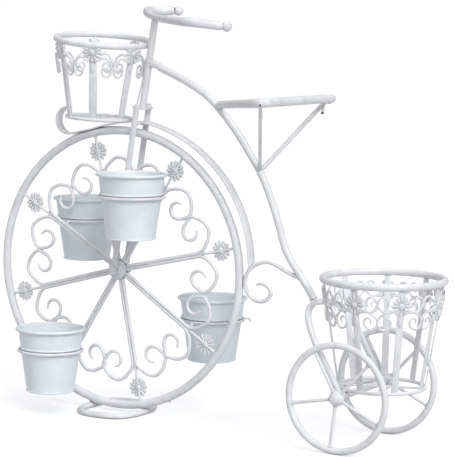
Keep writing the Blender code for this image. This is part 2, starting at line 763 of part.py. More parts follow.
def build_seat():
    seat_pieces = [as_mesh(seat_curve()), as_mesh(main_tube_curve(SEAT_GAP))]
    place(combined(seat_pieces, "DIFFERENCE", crossing=True), "seat_frame", WHITE, WHEEL)
    foot = on_main_tube(STRUT_FOOT_DEG)
    *_, far_head = seat_corner()
    for side, name in ((-1, "near"), (1, "far")):
        head = Matrix.Diagonal((1, side, 1)) @ far_head
        cutters = [as_mesh(seat_curve(SEAT_GAP)), as_mesh(main_tube_curve(SEAT_GAP))]
        strut = combined([strut_bar(head, foot)] + cutters, "DIFFERENCE")
        place(strut, f"seat_strut_{name}", WHITE, WHEEL)
        bolt = cylinder(SEAT_BOLT_RADIUS, SEAT_BOLT_LENGTH, 10)
        bolt.location = head.lerp(foot, SEAT_BOLT_SHARE) - Vector((0, 0, SEAT_BOLT_LENGTH / 2))
        bolt = combined([baked(bolt), strut_bar(head, foot, SEAT_GAP)], "DIFFERENCE")
        place(bolt, f"seat_bolt_{name}", STEEL, WHEEL)


def build_rear_wheels():
    rim_radius = REAR_WHEEL_RADIUS - REAR_TUBE_RADIUS
    bore = AXLE_RADIUS + RUNNING_GAP
    spoke_start = (bore + REAR_HUB_RADIUS) / 2
    facet_drop = REAR_SPOKE_RADIUS * math.tan(math.pi / REAR_RIM_STEPS)
    spoke_end = rim_radius - REAR_TUBE_RADIUS - facet_drop - SEAT_GAP
    hub_profile = (
        (bore, REAR_HUB_HALF_LENGTH),
        (REAR_HUB_RADIUS, REAR_HUB_HALF_LENGTH),
        (REAR_HUB_RADIUS, -REAR_HUB_HALF_LENGTH),
        (bore, -REAR_HUB_HALF_LENGTH),
        (bore, REAR_HUB_HALF_LENGTH),
    )
    hub = turned(hub_profile, 20)
    hub.rotation_euler = (math.pi / 2, 0, 0)
    pieces = [baked(as_mesh(hub))]
    for index in range(REAR_SPOKE_COUNT):
        turn = math.radians(REAR_SPOKE_PHASE_DEG + index * 360.0 / REAR_SPOKE_COUNT)
        way = Vector((math.cos(turn), 0, math.sin(turn)))
        pieces.append(baked(as_mesh(tube_curve([way * spoke_start, way * spoke_end], REAR_SPOKE_RADIUS))))
    joined = union_of(pieces)
    spider_mesh = joined.data
    bpy.data.objects.remove(joined, do_unlink=True)
    for side, name in ((-1, "near"), (1, "far")):
        hub_place = (REAR_WHEEL_X, side * REAR_HALF_TRACK, REAR_WHEEL_RADIUS)
        pivot = new_empty(f"rear_wheel_pivot_{name}", ROOT, hub_place)
        rim = torus(rim_radius, REAR_TUBE_RADIUS, REAR_RIM_STEPS, 8)
        rim_turn = (math.pi / 2, -math.radians(REAR_SPOKE_PHASE_DEG), 0)
        place(rim, f"rear_rim_{name}", WHITE, pivot, rotation=rim_turn)
        spider = bpy.data.objects.new("spider", spider_mesh)
        PARTS.objects.link(spider)
        place(spider, f"rear_spokes_{name}", WHITE, pivot)


def build_axle():
    hub_face = REAR_HALF_TRACK + REAR_HUB_HALF_LENGTH
    half = hub_face + RUNNING_GAP
    axle = cylinder(AXLE_RADIUS, 2 * half, 16)
    axle.data.shade_smooth()
    place(axle, "rear_axle", WHITE, ROOT, (REAR_WHEEL_X, 0, REAR_WHEEL_RADIUS), (math.pi / 2, 0, 0))
    cap = (
        (0, CAP_LENGTH),
        (CAP_RADIUS * CAP_DOME_SHARE, CAP_LENGTH),
        (CAP_RADIUS, CAP_LENGTH * CAP_DOME_SHARE),
        (CAP_RADIUS, 0),
        (0, 0),
    )
    for side, name in ((-1, "axle_cap_near"), (1, "axle_cap_far")):
        seat = (REAR_WHEEL_X, side * (half + SEAT_GAP), REAR_WHEEL_RADIUS)
        place(turned(cap, CAP_STEPS), name, WHITE, ROOT, seat, (-side * math.pi / 2, 0, 0))


def hoop_points():
    """The rear hoop's line: from its crown at the main tube's end, out and down to both ends of the axle."""
    crown = main_tube_point(*MAIN_TUBE_SHARES[-1]) + Vector((0, 0, HUB_Z))
    inner_face = REAR_HALF_TRACK - REAR_HUB_HALF_LENGTH - STAY_END_GAP
    end = Vector((REAR_WHEEL_X, inner_face - STAY_RADIUS, REAR_WHEEL_RADIUS))
    far = []
    for spread, along, drop in STAY_SHARES:
        x = crown.x + (end.x - crown.x) * along
        z = crown.z + (end.z - crown.z) * drop
        far.append(Vector((x, end.y * spread, z)))
    near = [Vector((point.x, -point.y, point.z)) for point in reversed(far)]
    return near + [crown] + far


def build_hoop():
    axle_ends = [(REAR_WHEEL_X, side * REAR_HALF_TRACK, REAR_WHEEL_RADIUS) for side in (-1, 1)]
    axle = tube_curve(axle_ends, AXLE_RADIUS + SEAT_GAP, resolution=6)
    place(coped(tube_curve(hoop_points(), STAY_RADIUS), axle), "rear_hoop", WHITE, ROOT)


def basket(prefix, frame, base_radius, ring_radius, ring_tube, height, phase_deg, flower_drop, top, depth):
    """A tapering basket in its frame's axes: a floor ring at z = 0, flat slats and a top ring."""
    ring = torus(ring_radius, ring_tube, 28, 6)
    place(ring, f"{prefix}_ring", WHITE, frame, (0, 0, height))

    slope = math.atan2(ring_radius - base_radius, height)
    slat_length = math.hypot(ring_radius - base_radius, height)
    slat_end = slat_length - ring_tube - SEAT_GAP
    pieces = [torus(base_radius, ring_tube, 28, 6)]
    for index in range(BASKET_SLATS):
        turn = math.radians(phase_deg) + math.tau * index / BASKET_SLATS
        slat = box((SLAT_THICKNESS, SLAT_WIDTH, slat_end))
        slat.data.transform(Matrix.Translation((0, 0, slat_end / 2)))
        slat.data.transform(Matrix.Rotation(slope, 4, "Y"))
        slat.data.transform(Matrix.Translation((base_radius, 0, 0)))
        slat.data.transform(Matrix.Rotation(turn, 4, "Z"))
        pieces.append(slat)
    for index in range(2):
        turn = math.radians(phase_deg) + math.pi / BASKET_SLATS + math.pi / 2 * index
        way = Vector((math.cos(turn), math.sin(turn), 0)) * base_radius
        pieces.append(as_mesh(tube_curve([-way, way], FLOOR_WIRE_RADIUS)))
    place(union_of([baked(piece) for piece in pieces]), f"{prefix}_cage", WHITE, frame)

    flower_z = height - flower_drop
    slat_face = SLAT_THICKNESS / 2 / math.cos(slope) + SEAT_GAP
    pieces = []

    def wall(z):
        return base_radius + (ring_radius - base_radius) * z / height

    for index in range(BASKET_SLATS):
        turn = math.radians(phase_deg) + math.tau * index / BASKET_SLATS
        flower = rosette(FLOWER_RADIUS, FLOWER_DEPTH)
        flower.data.transform(Matrix.Rotation(math.pi / 2 + slope, 4, "Y"))
        flower.data.transform(Matrix.Translation((wall(flower_z) + slat_face, 0, flower_z)))
        flower.data.transform(Matrix.Rotation(turn, 4, "Z"))
        pieces.append(flower)
        for side in (-1, 1):
            points = []
            for along, rise in GARLAND_SHARES:
                z = flower_z + top - depth * (1 - rise)
                out = wall(z) + slat_face + GARLAND_WIRE_RADIUS
                half_cell = math.pi / BASKET_SLATS - GARLAND_WIRE_RADIUS / 2 / out
                angle = turn + side * half_cell * along
                points.append(Vector((out * math.cos(angle), out * math.sin(angle), z)))
            pieces.append(as_mesh(tube_curve(points, GARLAND_WIRE_RADIUS, resolution=0)))
    place(union_of([baked(piece) for piece in pieces]), f"{prefix}_garland", WHITE, frame)


def build_baskets():
    rear = new_empty("rear_basket_frame", ROOT, (REAR_BASKET_X, 0, REAR_BASKET_Z))
    basket(
        "rear_basket",
        rear,
        REAR_BASE_RADIUS,
        REAR_RING_RADIUS,
        REAR_RING_TUBE_RADIUS,
        REAR_BASKET_HEIGHT,
        REAR_SLAT_PHASE_DEG,
        REAR_FLOWER_DROP,
        REAR_SCROLL_TOP,
        REAR_SCROLL_DEPTH,
    )
    lean = math.radians(FRONT_BASKET_LEAN_DEG)
    seat = bracket_seat()
    rear_edge = Vector((FRONT_BASE_RADIUS * math.cos(lean), 0, -FRONT_BASE_RADIUS * math.sin(lean)))
    place_z = seat.z + BRACKET_THICKNESS / 2 + SEAT_GAP + FRONT_RING_TUBE_RADIUS - rear_edge.z
    front = new_empty("front_basket_frame", WHEEL, (FRONT_BASKET_X, 0, place_z), (0, lean, 0))
    basket(
        "front_basket",
        front,
        FRONT_BASE_RADIUS,
        FRONT_RING_RADIUS,
        FRONT_RING_TUBE_RADIUS,
        FRONT_BASKET_HEIGHT,
        FRONT_SLAT_PHASE_DEG,
        FRONT_FLOWER_DROP,
        FRONT_SCROLL_TOP,
        FRONT_SCROLL_DEPTH,
    )


def bracket_points():
    """The flat bar's line: from the fork bridge, down to the rim, forward, and up in a curl."""
    lean = math.radians(FORK_LEAN_DEG)
    front_way = Vector((-math.cos(lean), 0, math.sin(lean)))
    start = fork_point(BRIDGE_PLACE) + front_way * (BRIDGE_LENGTH / 2 + SEAT_GAP)
    low = FRONT_TIRE_RADIUS + SEAT_GAP + BRACKET_THICKNESS / 2
    start_deg = math.degrees(math.atan2(start.z, start.x))
    points = [start, start + front_way * BRACKET_TAB]
    for share in BRACKET_PASS_SHARES:
        degrees = start_deg + (BRACKET_TOUCH_DEG - start_deg) * share
        points.append(wheel_point(start.length + (low - start.length) * share, degrees))
    tangent = wheel_point(1.0, BRACKET_TOUCH_DEG + 90)
    points.append(points[-1] + tangent * BRACKET_RUN)
    centre = points[-1] + wheel_point(BRACKET_CURL_RADIUS, BRACKET_TOUCH_DEG)
    first_deg = BRACKET_TOUCH_DEG + 180
    for step in range(BRACKET_CURL_STEPS):
        degrees = first_deg + (BRACKET_CURL_END_DEG - first_deg) * (step + 1) / BRACKET_CURL_STEPS
        points.append(centre + wheel_point(BRACKET_CURL_RADIUS, degrees))
    return points


def bracket_seat():
    """The point of the bracket's line under the rear edge of the front basket's floor ring."""
    seat_x = FRONT_BASKET_X + FRONT_BASE_RADIUS * math.cos(math.radians(FRONT_BASKET_LEAN_DEG))
    points = bracket_points()
    for one, two in zip(points, points[1:]):
        if two.x <= seat_x <= one.x:
            return one.lerp(two, (one.x - seat_x) / (one.x - two.x))
    return points[0]


def build_bracket():
    mesh = bpy.data.meshes.new("bracket")
    work = bmesh.new()
    line = [work.verts.new(point + Vector((0, -BRACKET_WIDTH / 2, 0))) for point in bracket_points()]
    edges = [work.edges.new(pair) for pair in zip(line, line[1:])]
    made = bmesh.ops.extrude_edge_only(work, edges=edges)
    far = [item for item in made["geom"] if isinstance(item, bmesh.types.BMVert)]
    bmesh.ops.translate(work, verts=far, vec=(0, BRACKET_WIDTH, 0))
    bmesh.ops.recalc_face_normals(work, faces=work.faces)
    work.to_mesh(mesh)
    work.free()
    bar = bpy.data.objects.new("bracket", mesh)
    PARTS.objects.link(bar)
    place(bar, "front_basket_bracket", WHITE, WHEEL)
    thick = bar.modifiers.new("thickness", "SOLIDIFY")
    thick.thickness = BRACKET_THICKNESS
    thick.offset = 0
    thick.use_even_offset = True


def pot_radius(height):
    """The pot's outer wall at a height above its foot, without rolls and beads."""
    return POT_BASE_RADIUS + (POT_TOP_RADIUS - POT_BASE_RADIUS) * height / POT_HEIGHT


def build_pots():
    roll = POT_ROLL_RADIUS
    bead_z = POT_HEIGHT - POT_BEAD_DROP
    bead_out = pot_radius(bead_z) + POT_BEAD_DEPTH
    top_z = POT_HEIGHT - roll
    top_out = pot_radius(top_z)
    profile = [
        (0, POT_WALL),
        (pot_radius(POT_WALL) - POT_WALL, POT_WALL),
        (top_out - POT_WALL, top_z),
        (top_out + roll / 2, POT_HEIGHT),
        (top_out + roll * POT_ROLL_SHARE, top_z + roll / 3),
        (top_out + roll * POT_ROLL_SHARE, top_z - roll / 2),
        (top_out + roll / 3, top_z - roll),
        (bead_out, bead_z + POT_BEAD_DEPTH),
        (bead_out, bead_z),
        (pot_radius(bead_z), bead_z),
        (pot_radius(POT_FOOT_DEPTH * 2), POT_FOOT_DEPTH * 2),
        (POT_BASE_RADIUS + POT_FOOT_DEPTH, POT_FOOT_DEPTH),
        (POT_BASE_RADIUS + POT_FOOT_DEPTH / 2, 0),
        (0, 0),
    ]
    pot_mesh = turned(profile, POT_STEPS).data
    for obj in [each for each in PARTS.objects if each.data == pot_mesh]:
        bpy.data.objects.remove(obj, do_unlink=True)
    ring_radius = pot_radius(bead_z) + SEAT_GAP + RING_WIRE_RADIUS
    foot_drop = RING_WIRE_RADIUS * FLAT_SHARE + SEAT_GAP - bead_z
    spoke_face = POT_STAND_OFF - SPOKE_ROD_RADIUS - SEAT_GAP
    for name, (spoke, side, ring_x, ring_z, anchor_share) in POT_SHARES.items():
        centre = Vector((ring_x * FRONT_RIM_RADIUS, side * POT_STAND_OFF, ring_z * FRONT_RIM_RADIUS))
        holder = new_empty(f"pot_place_{name}", WHEEL, centre)
        anchor = wheel_point(FRONT_RIM_RADIUS * anchor_share, SPOKE_PHASE_DEG + spoke * 360.0 / SPOKE_COUNT)
        shift = anchor - centre
        reach = math.sqrt(ring_radius**2 - shift.x**2)
        spoke_end = Vector((shift.x, -side * spoke_face, shift.z))
        square_run = Vector((0, side * RING_WIRE_RADIUS, 0))
        arm = tube_curve([(shift.x, -side * reach, 0), spoke_end + square_run, spoke_end], RING_WIRE_RADIUS)
        ring = torus(ring_radius, RING_WIRE_RADIUS, POT_STEPS, 6)
        place(union_of([ring, as_mesh(arm)]), f"pot_ring_{name}", WHITE, holder)
        foot = new_empty(f"pot_foot_{name}", holder, (0, 0, foot_drop))
        pot = spun(bpy.data.objects.new("pot", pot_mesh), POT_STEPS)
        PARTS.objects.link(pot)
        place(pot, f"pot_{name}", TIN, foot)


build_front_rim()
build_hub()
build_spokes()
build_foot()
build_fork()
build_stem_and_bar()
build_main_tube()
build_mudguard()
build_link()
build_seat()
build_rear_wheels()
build_axle()
build_hoop()
build_bracket()
build_baskets()
build_pots()
bpy.context.view_layer.update()
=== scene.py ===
"""Bicycle planter: the painted iron, the tin pots and the studio round them.

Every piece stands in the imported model's frame, in metres: +X to the rear, near side at -Y.
"""

import math
from itertools import accumulate

import bmesh
import bpy
from bpy.props import FloatProperty, FloatVectorProperty, IntProperty, PointerProperty
from mathutils import Matrix, Vector
from mathutils.geometry import interpolate_bezier


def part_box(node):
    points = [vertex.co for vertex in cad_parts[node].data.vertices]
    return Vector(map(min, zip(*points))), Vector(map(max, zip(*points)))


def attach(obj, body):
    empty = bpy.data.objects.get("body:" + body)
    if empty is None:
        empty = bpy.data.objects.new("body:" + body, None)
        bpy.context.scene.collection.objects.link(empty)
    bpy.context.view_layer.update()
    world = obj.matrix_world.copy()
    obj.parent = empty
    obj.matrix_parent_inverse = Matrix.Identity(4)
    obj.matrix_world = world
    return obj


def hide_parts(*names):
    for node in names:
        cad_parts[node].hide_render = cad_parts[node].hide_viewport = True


bl_info = {
    "name": "Bicycle planter",
    "version": (1, 0, 0),
    "blender": (4, 5, 0),
    "location": "3D View > Sidebar > Planter",
    "description": "Builds a wrought-iron bicycle planter with four hanging tin pots round its packed frame",
    "category": "Add Mesh",
}

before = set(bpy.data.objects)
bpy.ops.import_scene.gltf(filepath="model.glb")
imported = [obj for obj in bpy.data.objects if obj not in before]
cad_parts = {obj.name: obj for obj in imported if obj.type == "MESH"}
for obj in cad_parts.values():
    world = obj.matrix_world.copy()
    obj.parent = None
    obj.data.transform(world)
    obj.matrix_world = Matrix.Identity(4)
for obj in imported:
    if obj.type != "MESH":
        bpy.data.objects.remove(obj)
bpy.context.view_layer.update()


def middle(node):
    """The middle of a node of the frame."""
    low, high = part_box(node)
    return (low + high) / 2


HUB = middle("front_hub")
AXLE = middle("rear_axle")
SIDES = {"near": -1, "far": 1}

# Quarter turns that stand a shape up or lay it down
QUARTER_X, QUARTER_Y, QUARTER_Z = (Matrix.Rotation(math.pi / 2, 4, axis) for axis in "XYZ")

# What the CAD leaves between two pieces that are welded, in metres
GAP = 0.0003

# A scroll rod of the front wheel, as shares of the rim radius along its spoke and beside it
SCROLL_SHARES = (
    (0.722, 0.028), (0.757, 0.064), (0.787, 0.112), (0.797, 0.160), (0.768, 0.218), (0.724, 0.252),
    (0.669, 0.270), (0.627, 0.241), (0.595, 0.205), (0.585, 0.160), (0.608, 0.122), (0.655, 0.112),
    (0.691, 0.138), (0.700, 0.172),
)

# Where along its spoke, in shares of the rim radius, a pair of rods parts, a daisy's stem starts, two
# scrolls meet their neighbours and a daisy sits
CROTCH_SHARE, STEM_SHARE, MEETING_SHARE, DAISY_SHARE = 0.700, 0.706, 0.723, 0.868

# How far each scroll spoke of the front wheel stands off an even spread, as it was welded by eye
SPOKE_SHIFTS_DEG = (0.0, 0.0, 0.0, 1.6, 2.2, 0.0, -1.8, -1.6)

# How far the front rim stands off its hub's middle, and where round it its tube was joined
RIM_SHIFT = (-0.0012, 0, 0.0018)
RIM_JOINT_DEG = -65.0

# How far ahead of the hub the foot loop stands, and the power that squares its oval
FOOT_LEAD = 0.003
FOOT_POWER = 0.70

# Small turned forms, as (radius, height), and the hub bolt's nuts
WASHER = ((0, 0), (0.0095, 0), (0.0095, 0.0008), (0.0088, 0.0011), (0, 0.0011))
NUT_RADIUS, NUT_DEPTH = 0.0086, 0.0036
BOLT_TIP = ((0, -0.0012), (0.0014, -0.0009), (0.0025, 0.0), (0.0029, 0.0014), (0.0025, 0.0028), (0, 0.0030))
BOLT_HEAD = ((0, 0.0014), (0.0010, 0.0012), (0.0019, 0.0005), (0.0021, -0.0004), (0, -0.0004))
AXLE_DOME = (
    (0, 0.005), (0.0030, 0.0049), (0.0062, 0.0043), (0.0084, 0.0032), (0.0095, 0.0016), (0.0095, 0), (0, 0),
)

# Half of the handlebar, as shares of its half width, sweep and rise, and of the grip's radius
BAR_SHARES = (
    (0.0, 0.0, 0.0, 0.72), (0.22, 0.02, 0.05, 0.80), (0.50, 0.08, 0.25, 0.90), (0.78, 0.19, 0.55, 0.97),
    (0.90, 0.27, 0.75, 1.0), (0.97, 0.40, 0.88, 1.0), (1.0, 0.58, 0.96, 1.0), (1.0, 1.0, 1.0, 1.0),
)

# How far the far grip's end is bent off a mirrored one, and how much thicker that half grows
FAR_GRIP_BEND = (-0.0060, 0, 0.0045)
FAR_GRIP_SWELL = 0.10

# How far past its named top the stem runs, to the underside of the bar
STEM_RISE = 0.0055

# The main tube, as degrees round the front hub and shares of its stand-off from the rim
MAIN_TUBE_SHARES = (
    (79.0, 1.075), (76.5, 1.040), (73.0, 1.018), (67.0, 0.995), (60.5, 0.972), (54.5, 0.918),
    (48.0, 0.864), (40.5, 0.812), (33.0, 0.792), (25.0, 0.765), (17.0, 0.762), (10.0, 0.792),
    (5.5, 0.895), (2.0, 1.022), (-1.2, 1.150), (-3.8, 1.250),
)

# Where on the main tube, in degrees round the front hub, the other irons meet it
SEAT_NOSE_DEG, STRUT_FOOT_DEG, LINK_FOOT_DEG = 56.6, 33.9, 1.6

# The mudguard: its two ends in degrees, its stand-off from the rim's middle and how far it bulges
MUDGUARD_DEG = (79.5, 5.4)
MUDGUARD_STAND_OFF, MUDGUARD_BULGE = 0.0255, 0.006

# The link scroll round its own centre: its rise as shares of the loop, then degrees and shares
LINK_RISE_SHARES = ((1.62, 0.72), (0.98, 1.02), (0.58, 1.16), (0.16, 1.16))
LINK_TURN_SHARES = (
    (108.0, 1.03), (140.0, 0.98), (172.0, 0.955), (200.0, 0.965), (232.0, 0.975), (266.0, 0.98),
    (296.0, 0.92), (324.0, 0.77), (340.0, 0.50), (352.0, 0.18), (196.0, 0.28),
)
LINK_DROP = 0.003

# Half of the rear hoop, as shares of its spread, its run to the axle and its drop
HOOP_SHARES = (
    (0.13, 0.03, 0.00), (0.30, 0.075, 0.006), (0.52, 0.12, 0.027), (0.78, 0.21, 0.10), (0.94, 0.33, 0.22),
    (1.0, 0.47, 0.39), (1.0, 0.69, 0.645), (1.0, 0.86, 0.83), (1.0, 0.99, 0.99),
)

# Where the slats stand round each basket: the rear one was welded by eye
REAR_SLATS_DEG = (-2.0, 24.0, 69.0, 111.0, 156.0, -144.0, -93.0, -47.5)
FRONT_SLATS_DEG = (-18.9, 32.5, 84.0, 135.4, -173.2, -121.8, -70.3)

# The scrolls beside a basket's daisy, as shares of its radius across and up from its middle
REAR_SCROLL_SHARES = (
    ((0.3, -0.3), (0.74, -0.43), (1.71, -0.59), (2.30, 0.0), (2.19, 0.69), (1.71, 0.88), (1.34, 0.43), (1.48, -0.13)),
    (
        (0.3, -0.5), (0.74, -0.64), (1.40, -0.69), (2.04, -1.07), (2.27, -1.71), (1.83, -2.37), (1.17, -2.20),
        (0.96, -1.61), (1.29, -1.21), (1.63, -1.45), (1.55, -1.83),
    ),
)
FRONT_SCROLL_SHARES = (
    (
        (0.32, -1.00), (0.81, -0.81), (1.30, -0.56), (1.73, -0.78), (2.03, -1.24), (2.11, -1.78), (1.98, -2.32),
        (1.60, -2.66), (1.19, -2.43), (1.08, -2.00), (1.34, -1.64), (1.70, -1.84), (1.72, -2.18),
    ),
)

# The widest a scroll reaches beside its daisy, and how far down the bud under a daisy hangs, in its radii
SCROLL_REACH, BUD_DROP = 2.32, 1.45

# Where round a basket's top ring its rod was joined, in radians
BASKET_JOINT = 2.0

# The bracket leaves the rim at this angle, runs on straight and ends in a curl
BRACKET_LEAVES_DEG, BRACKET_LAST_DEG = 103.0, 96.0
BRACKET_RUN, BRACKET_CURL = 0.052, 0.027

# Each pot's spoke, its side, and its ring's centre and arm as shares of the rim radius
POT_SHARES = {
    "front_high": (1, -1, 0.292, 0.568, 0.640),
    "front_low": (5, -1, -0.389, -0.586, 0.690),
    "rear_high": (3, 1, -0.495, 0.309, 0.580),
    "rear_low": (7, 1, 0.600, -0.352, 0.690),
}
POT_SEAM_DEG = 118.0

# The bent end that one pot's ring keeps: which way it stands, and its points past the ring and above it
RING_HOOK_POT, RING_HOOK_WAY = "rear_low", Vector((0.864, 0.503, 0))
RING_HOOK = ((-0.001, 0.0), (0.004, 0.0022), (0.009, 0.0026), (0.0125, 0.0), (0.0115, -0.0045))

# How near another face must stand for a place to count as a crevice, in metres, the shares of open sky
# between which it darkens, and the dark grey of the shade painted there
CREVICE_REACH = 0.006
CREVICE_FROM, CREVICE_TO, CREVICE_PAINTED_SHADE = 0.62, 0.22, "#6F6C6A"

# The photo's camera: its azimuth, elevation and roll in degrees, its place, and its lens in millimetres
CAMERA_DEG = (30.22, 6.00, 0.75)
CAMERA_PLACE = (2.0212, -3.2370, 0.7940)
CAMERA_LENS = {"sensor_width": 36.0, "lens": 154.67, "shift_x": 0.0430, "shift_y": -0.0235, "clip_end": 60.0}

# Each lamp's direction, strength, spread in degrees and colour
LAMPS = {
    "key_softbox": ((0.90, -0.55, 0.85), 1.95, 36.0, "#F8FBFD"),
    "overhead_softbox": ((-0.30, 0.10, 1.0), 0.95, 60.0, "#FAFCFD"),
    "front_softbox": ((0.35, -0.90, 0.35), 0.40, 50.0, "#FFFFFF"),
}


def metres(name, default, text):
    return FloatProperty(name=name, description=text, default=default, min=0.0, precision=4, unit="LENGTH")


def degrees(name, default, text):
    return FloatProperty(name=name, description=text, default=math.radians(default), precision=1, subtype="ANGLE")


def number(name, default, text):
    return IntProperty(name=name, description=text, default=default, min=1)


def linear(code):
    """An sRGB hex colour as Blender's linear red, green, blue and alpha."""
    parts = [int(code[index : index + 2], 16) / 255 for index in (1, 3, 5)]
    return (*(part / 12.92 if part <= 0.04045 else ((part + 0.055) / 1.055) ** 2.4 for part in parts), 1.0)


def colour(name, code, text):
    return FloatVectorProperty(
        name=name, description=text, default=linear(code), size=4, min=0.0, max=1.0, subtype="COLOR"
    )


class WheelSizes(bpy.types.PropertyGroup):
    rim_radius: metres("Front rim radius", 0.2725, "From the front hub to the middle of the rim's tube")
    rim_tube: metres("Front rim tube", 0.0081, "Radius of the front rim's tube")
    spokes: number("Front spokes", 8, "Scroll spokes of the front wheel")
    phase: degrees("Front spoke angle", 13.0, "Angle of the first scroll spoke above the rear")
    rod: metres("Scroll rod", 0.0036, "Radius of the scroll rods")
    hub_radius: metres("Front hub radius", 0.019, "Radius of the front hub's drum")
    hub_half: metres("Front hub half length", 0.011, "Half of the drum's length across the wheel")
    pin_radius: metres("Hub bolt radius", 0.0045, "Radius of the bolt through the front hub")
    daisy: metres("Daisy radius", 0.0208, "From a daisy's middle to its petals' tips")
    daisy_depth: metres("Daisy depth", 0.0048, "From a daisy's back to its boss")
    petals: number("Petals", 12, "Petals of each daisy")
    stem_rod: metres("Daisy stem", 0.0028, "Radius of the rods that carry the front wheel's daisies")
    rear_radius: metres("Rear wheel radius", 0.103, "From a rear hub to the floor")
    rear_tube: metres("Rear rim tube", 0.0063, "Radius of a rear rim's tube")
    rear_spokes: number("Rear spokes", 5, "Spokes of each rear wheel")
    rear_phase: degrees("Rear spoke angle", 47.0, "Angle of the first rear spoke above the rear")
    rear_rod: metres("Rear spoke radius", 0.0032, "Radius of a rear wheel's spokes")
    rear_hub: metres("Rear hub radius", 0.0145, "Radius of a rear hub")
    rear_hub_half: metres("Rear hub half length", 0.0085, "Half of a rear hub's length")
    half_track: metres("Half track", 0.107, "From the middle plane to a rear wheel")
    axle: metres("Axle radius", 0.0064, "Radius of the rear axle")


class FrameSizes(bpy.types.PropertyGroup):
    foot_half_length: metres("Foot half length", 0.0625, "Half of the foot loop along the planter")
    foot_half_width: metres("Foot half width", 0.075, "Half of the foot loop across the planter")
    foot_tube: metres("Foot tube", 0.0066, "Radius of the foot loop's tube")
    lean: degrees("Fork lean", 8.8, "How far the fork leans forward of upright")
    leg_spacing: metres("Leg half spacing", 0.022, "From the middle plane to a fork leg")
    leg_width: metres("Leg width", 0.012, "Width of a fork leg's flat bar")
    leg_thickness: metres("Leg thickness", 0.004, "Thickness of a fork leg's flat bar")
    leg_top: metres("Leg top", 0.332, "From the front hub to the top of the fork legs")
    crown_place: metres("Crown place", 0.3245, "From the front hub to the fork crown")
    bridge_place: metres("Bridge place", 0.2935, "From the front hub to the fork bridge")
    stem: metres("Stem radius", 0.0068, "Radius of the stem")
    stem_top: metres("Stem top", 0.490, "From the front hub to the top of the stem")
    bar: metres("Handlebar radius", 0.0085, "Radius of the handlebar's grips")
    bar_turn: degrees("Handlebar turn", 45.0, "How far the handlebar is steered to the near side")
    bar_half_width: metres("Handlebar half width", 0.178, "Half of the handlebar's width")
    bar_sweep: metres("Handlebar sweep", 0.084, "How far the grips run back")
    bar_rise: metres("Handlebar rise", 0.0065, "How far the grips rise")
    bar_roll: degrees("Handlebar roll", 2.6, "How far the bar dips to the far side")
    knob: metres("Knob radius", 0.0098, "Radius of the balls at the handlebar's ends")
    main_tube: metres("Main tube radius", 0.0071, "Radius of the tube from the stem to the rear hoop")
    stand_off: metres("Main tube stand-off", 0.130, "From the rim to the main tube")
    mudguard: metres("Mudguard width", 0.0240, "Width of the mudguard's flat strip")
    mudguard_thickness: metres("Mudguard thickness", 0.0034, "Thickness of that strip")
    link: metres("Link scroll radius", 0.0040, "Radius of the scroll behind the front wheel")
    link_loop: metres("Link loop", 0.0355, "Radius of the link scroll's loop")
    hoop: metres("Rear hoop radius", 0.0061, "Radius of the hoop down to the axle")
    seat: metres("Seat tube radius", 0.0082, "Radius of the seat frame's tube")
    seat_length: metres("Seat length", 0.1785, "From the seat's nose to its rear bar")
    seat_half_width: metres("Seat half width", 0.149, "From the middle plane to a rear corner of the seat")
    seat_rise: metres("Seat rise", 0.0135, "How far the seat rises to its rear bar")
    seat_corner: metres("Seat corner", 0.011, "Bend radius at the seat's rear corners")


class BasketSizes(bpy.types.PropertyGroup):
    slat_width: metres("Slat width", 0.013, "Width of the slats")
    slat_thickness: metres("Slat thickness", 0.0025, "Thickness of the slats")
    wire: metres("Basket wire", 0.0022, "Radius of the floor and garland wires")
    daisy: metres("Basket daisy", 0.0195, "From a basket daisy's middle to its petals' tips")
    floor_tube: metres("Floor ring tube", 0.0035, "Radius of the floor rings' rod")
    rear_ring: metres("Rear ring radius", 0.1113, "Radius of the rear basket's top ring")
    rear_tube: metres("Rear ring tube", 0.0070, "Radius of the rear basket's top rod")
    rear_base: metres("Rear base radius", 0.0795, "Radius of the rear basket's floor ring")
    rear_height: metres("Rear basket height", 0.198, "From the rear basket's floor ring to its top ring")
    rear_drop: metres("Rear daisy drop", 0.034, "From the rear basket's top ring down to its daisies")
    rear_proud: metres("Rear daisy stand-off", 0.0018, "From the rear basket's wall to its daisies' backs")
    front_ring: metres("Front ring radius", 0.0935, "Radius of the front basket's top ring")
    front_tube: metres("Front ring tube", 0.0060, "Radius of the front basket's top rod")
    front_base: metres("Front base radius", 0.0655, "Radius of the front basket's floor ring")
    front_height: metres("Front basket height", 0.1520, "From the front basket's floor ring to its top ring")
    front_drop: metres("Front daisy drop", 0.0200, "From the front basket's top ring down to its daisies")
    front_proud: metres("Front daisy stand-off", 0.0032, "From the front basket's wall to its daisies' backs")
    front_lift: metres("Front ring lift", 0.0042, "How far the front ring stands above its packed place")
    front_lean: degrees("Front basket lean", 3.0, "How far the front basket leans to the rear")
    front_rise: degrees("Front ring rise", -2.6, "How far less than its basket the ring leans: below 0 is more")
    front_dip: degrees("Front ring dip", 3.5, "How far the front ring dips to the near side")
    bracket_width: metres("Bracket width", 0.021, "Width of the flat bar under the front basket")
    bracket_thickness: metres("Bracket thickness", 0.003, "Thickness of that bar")


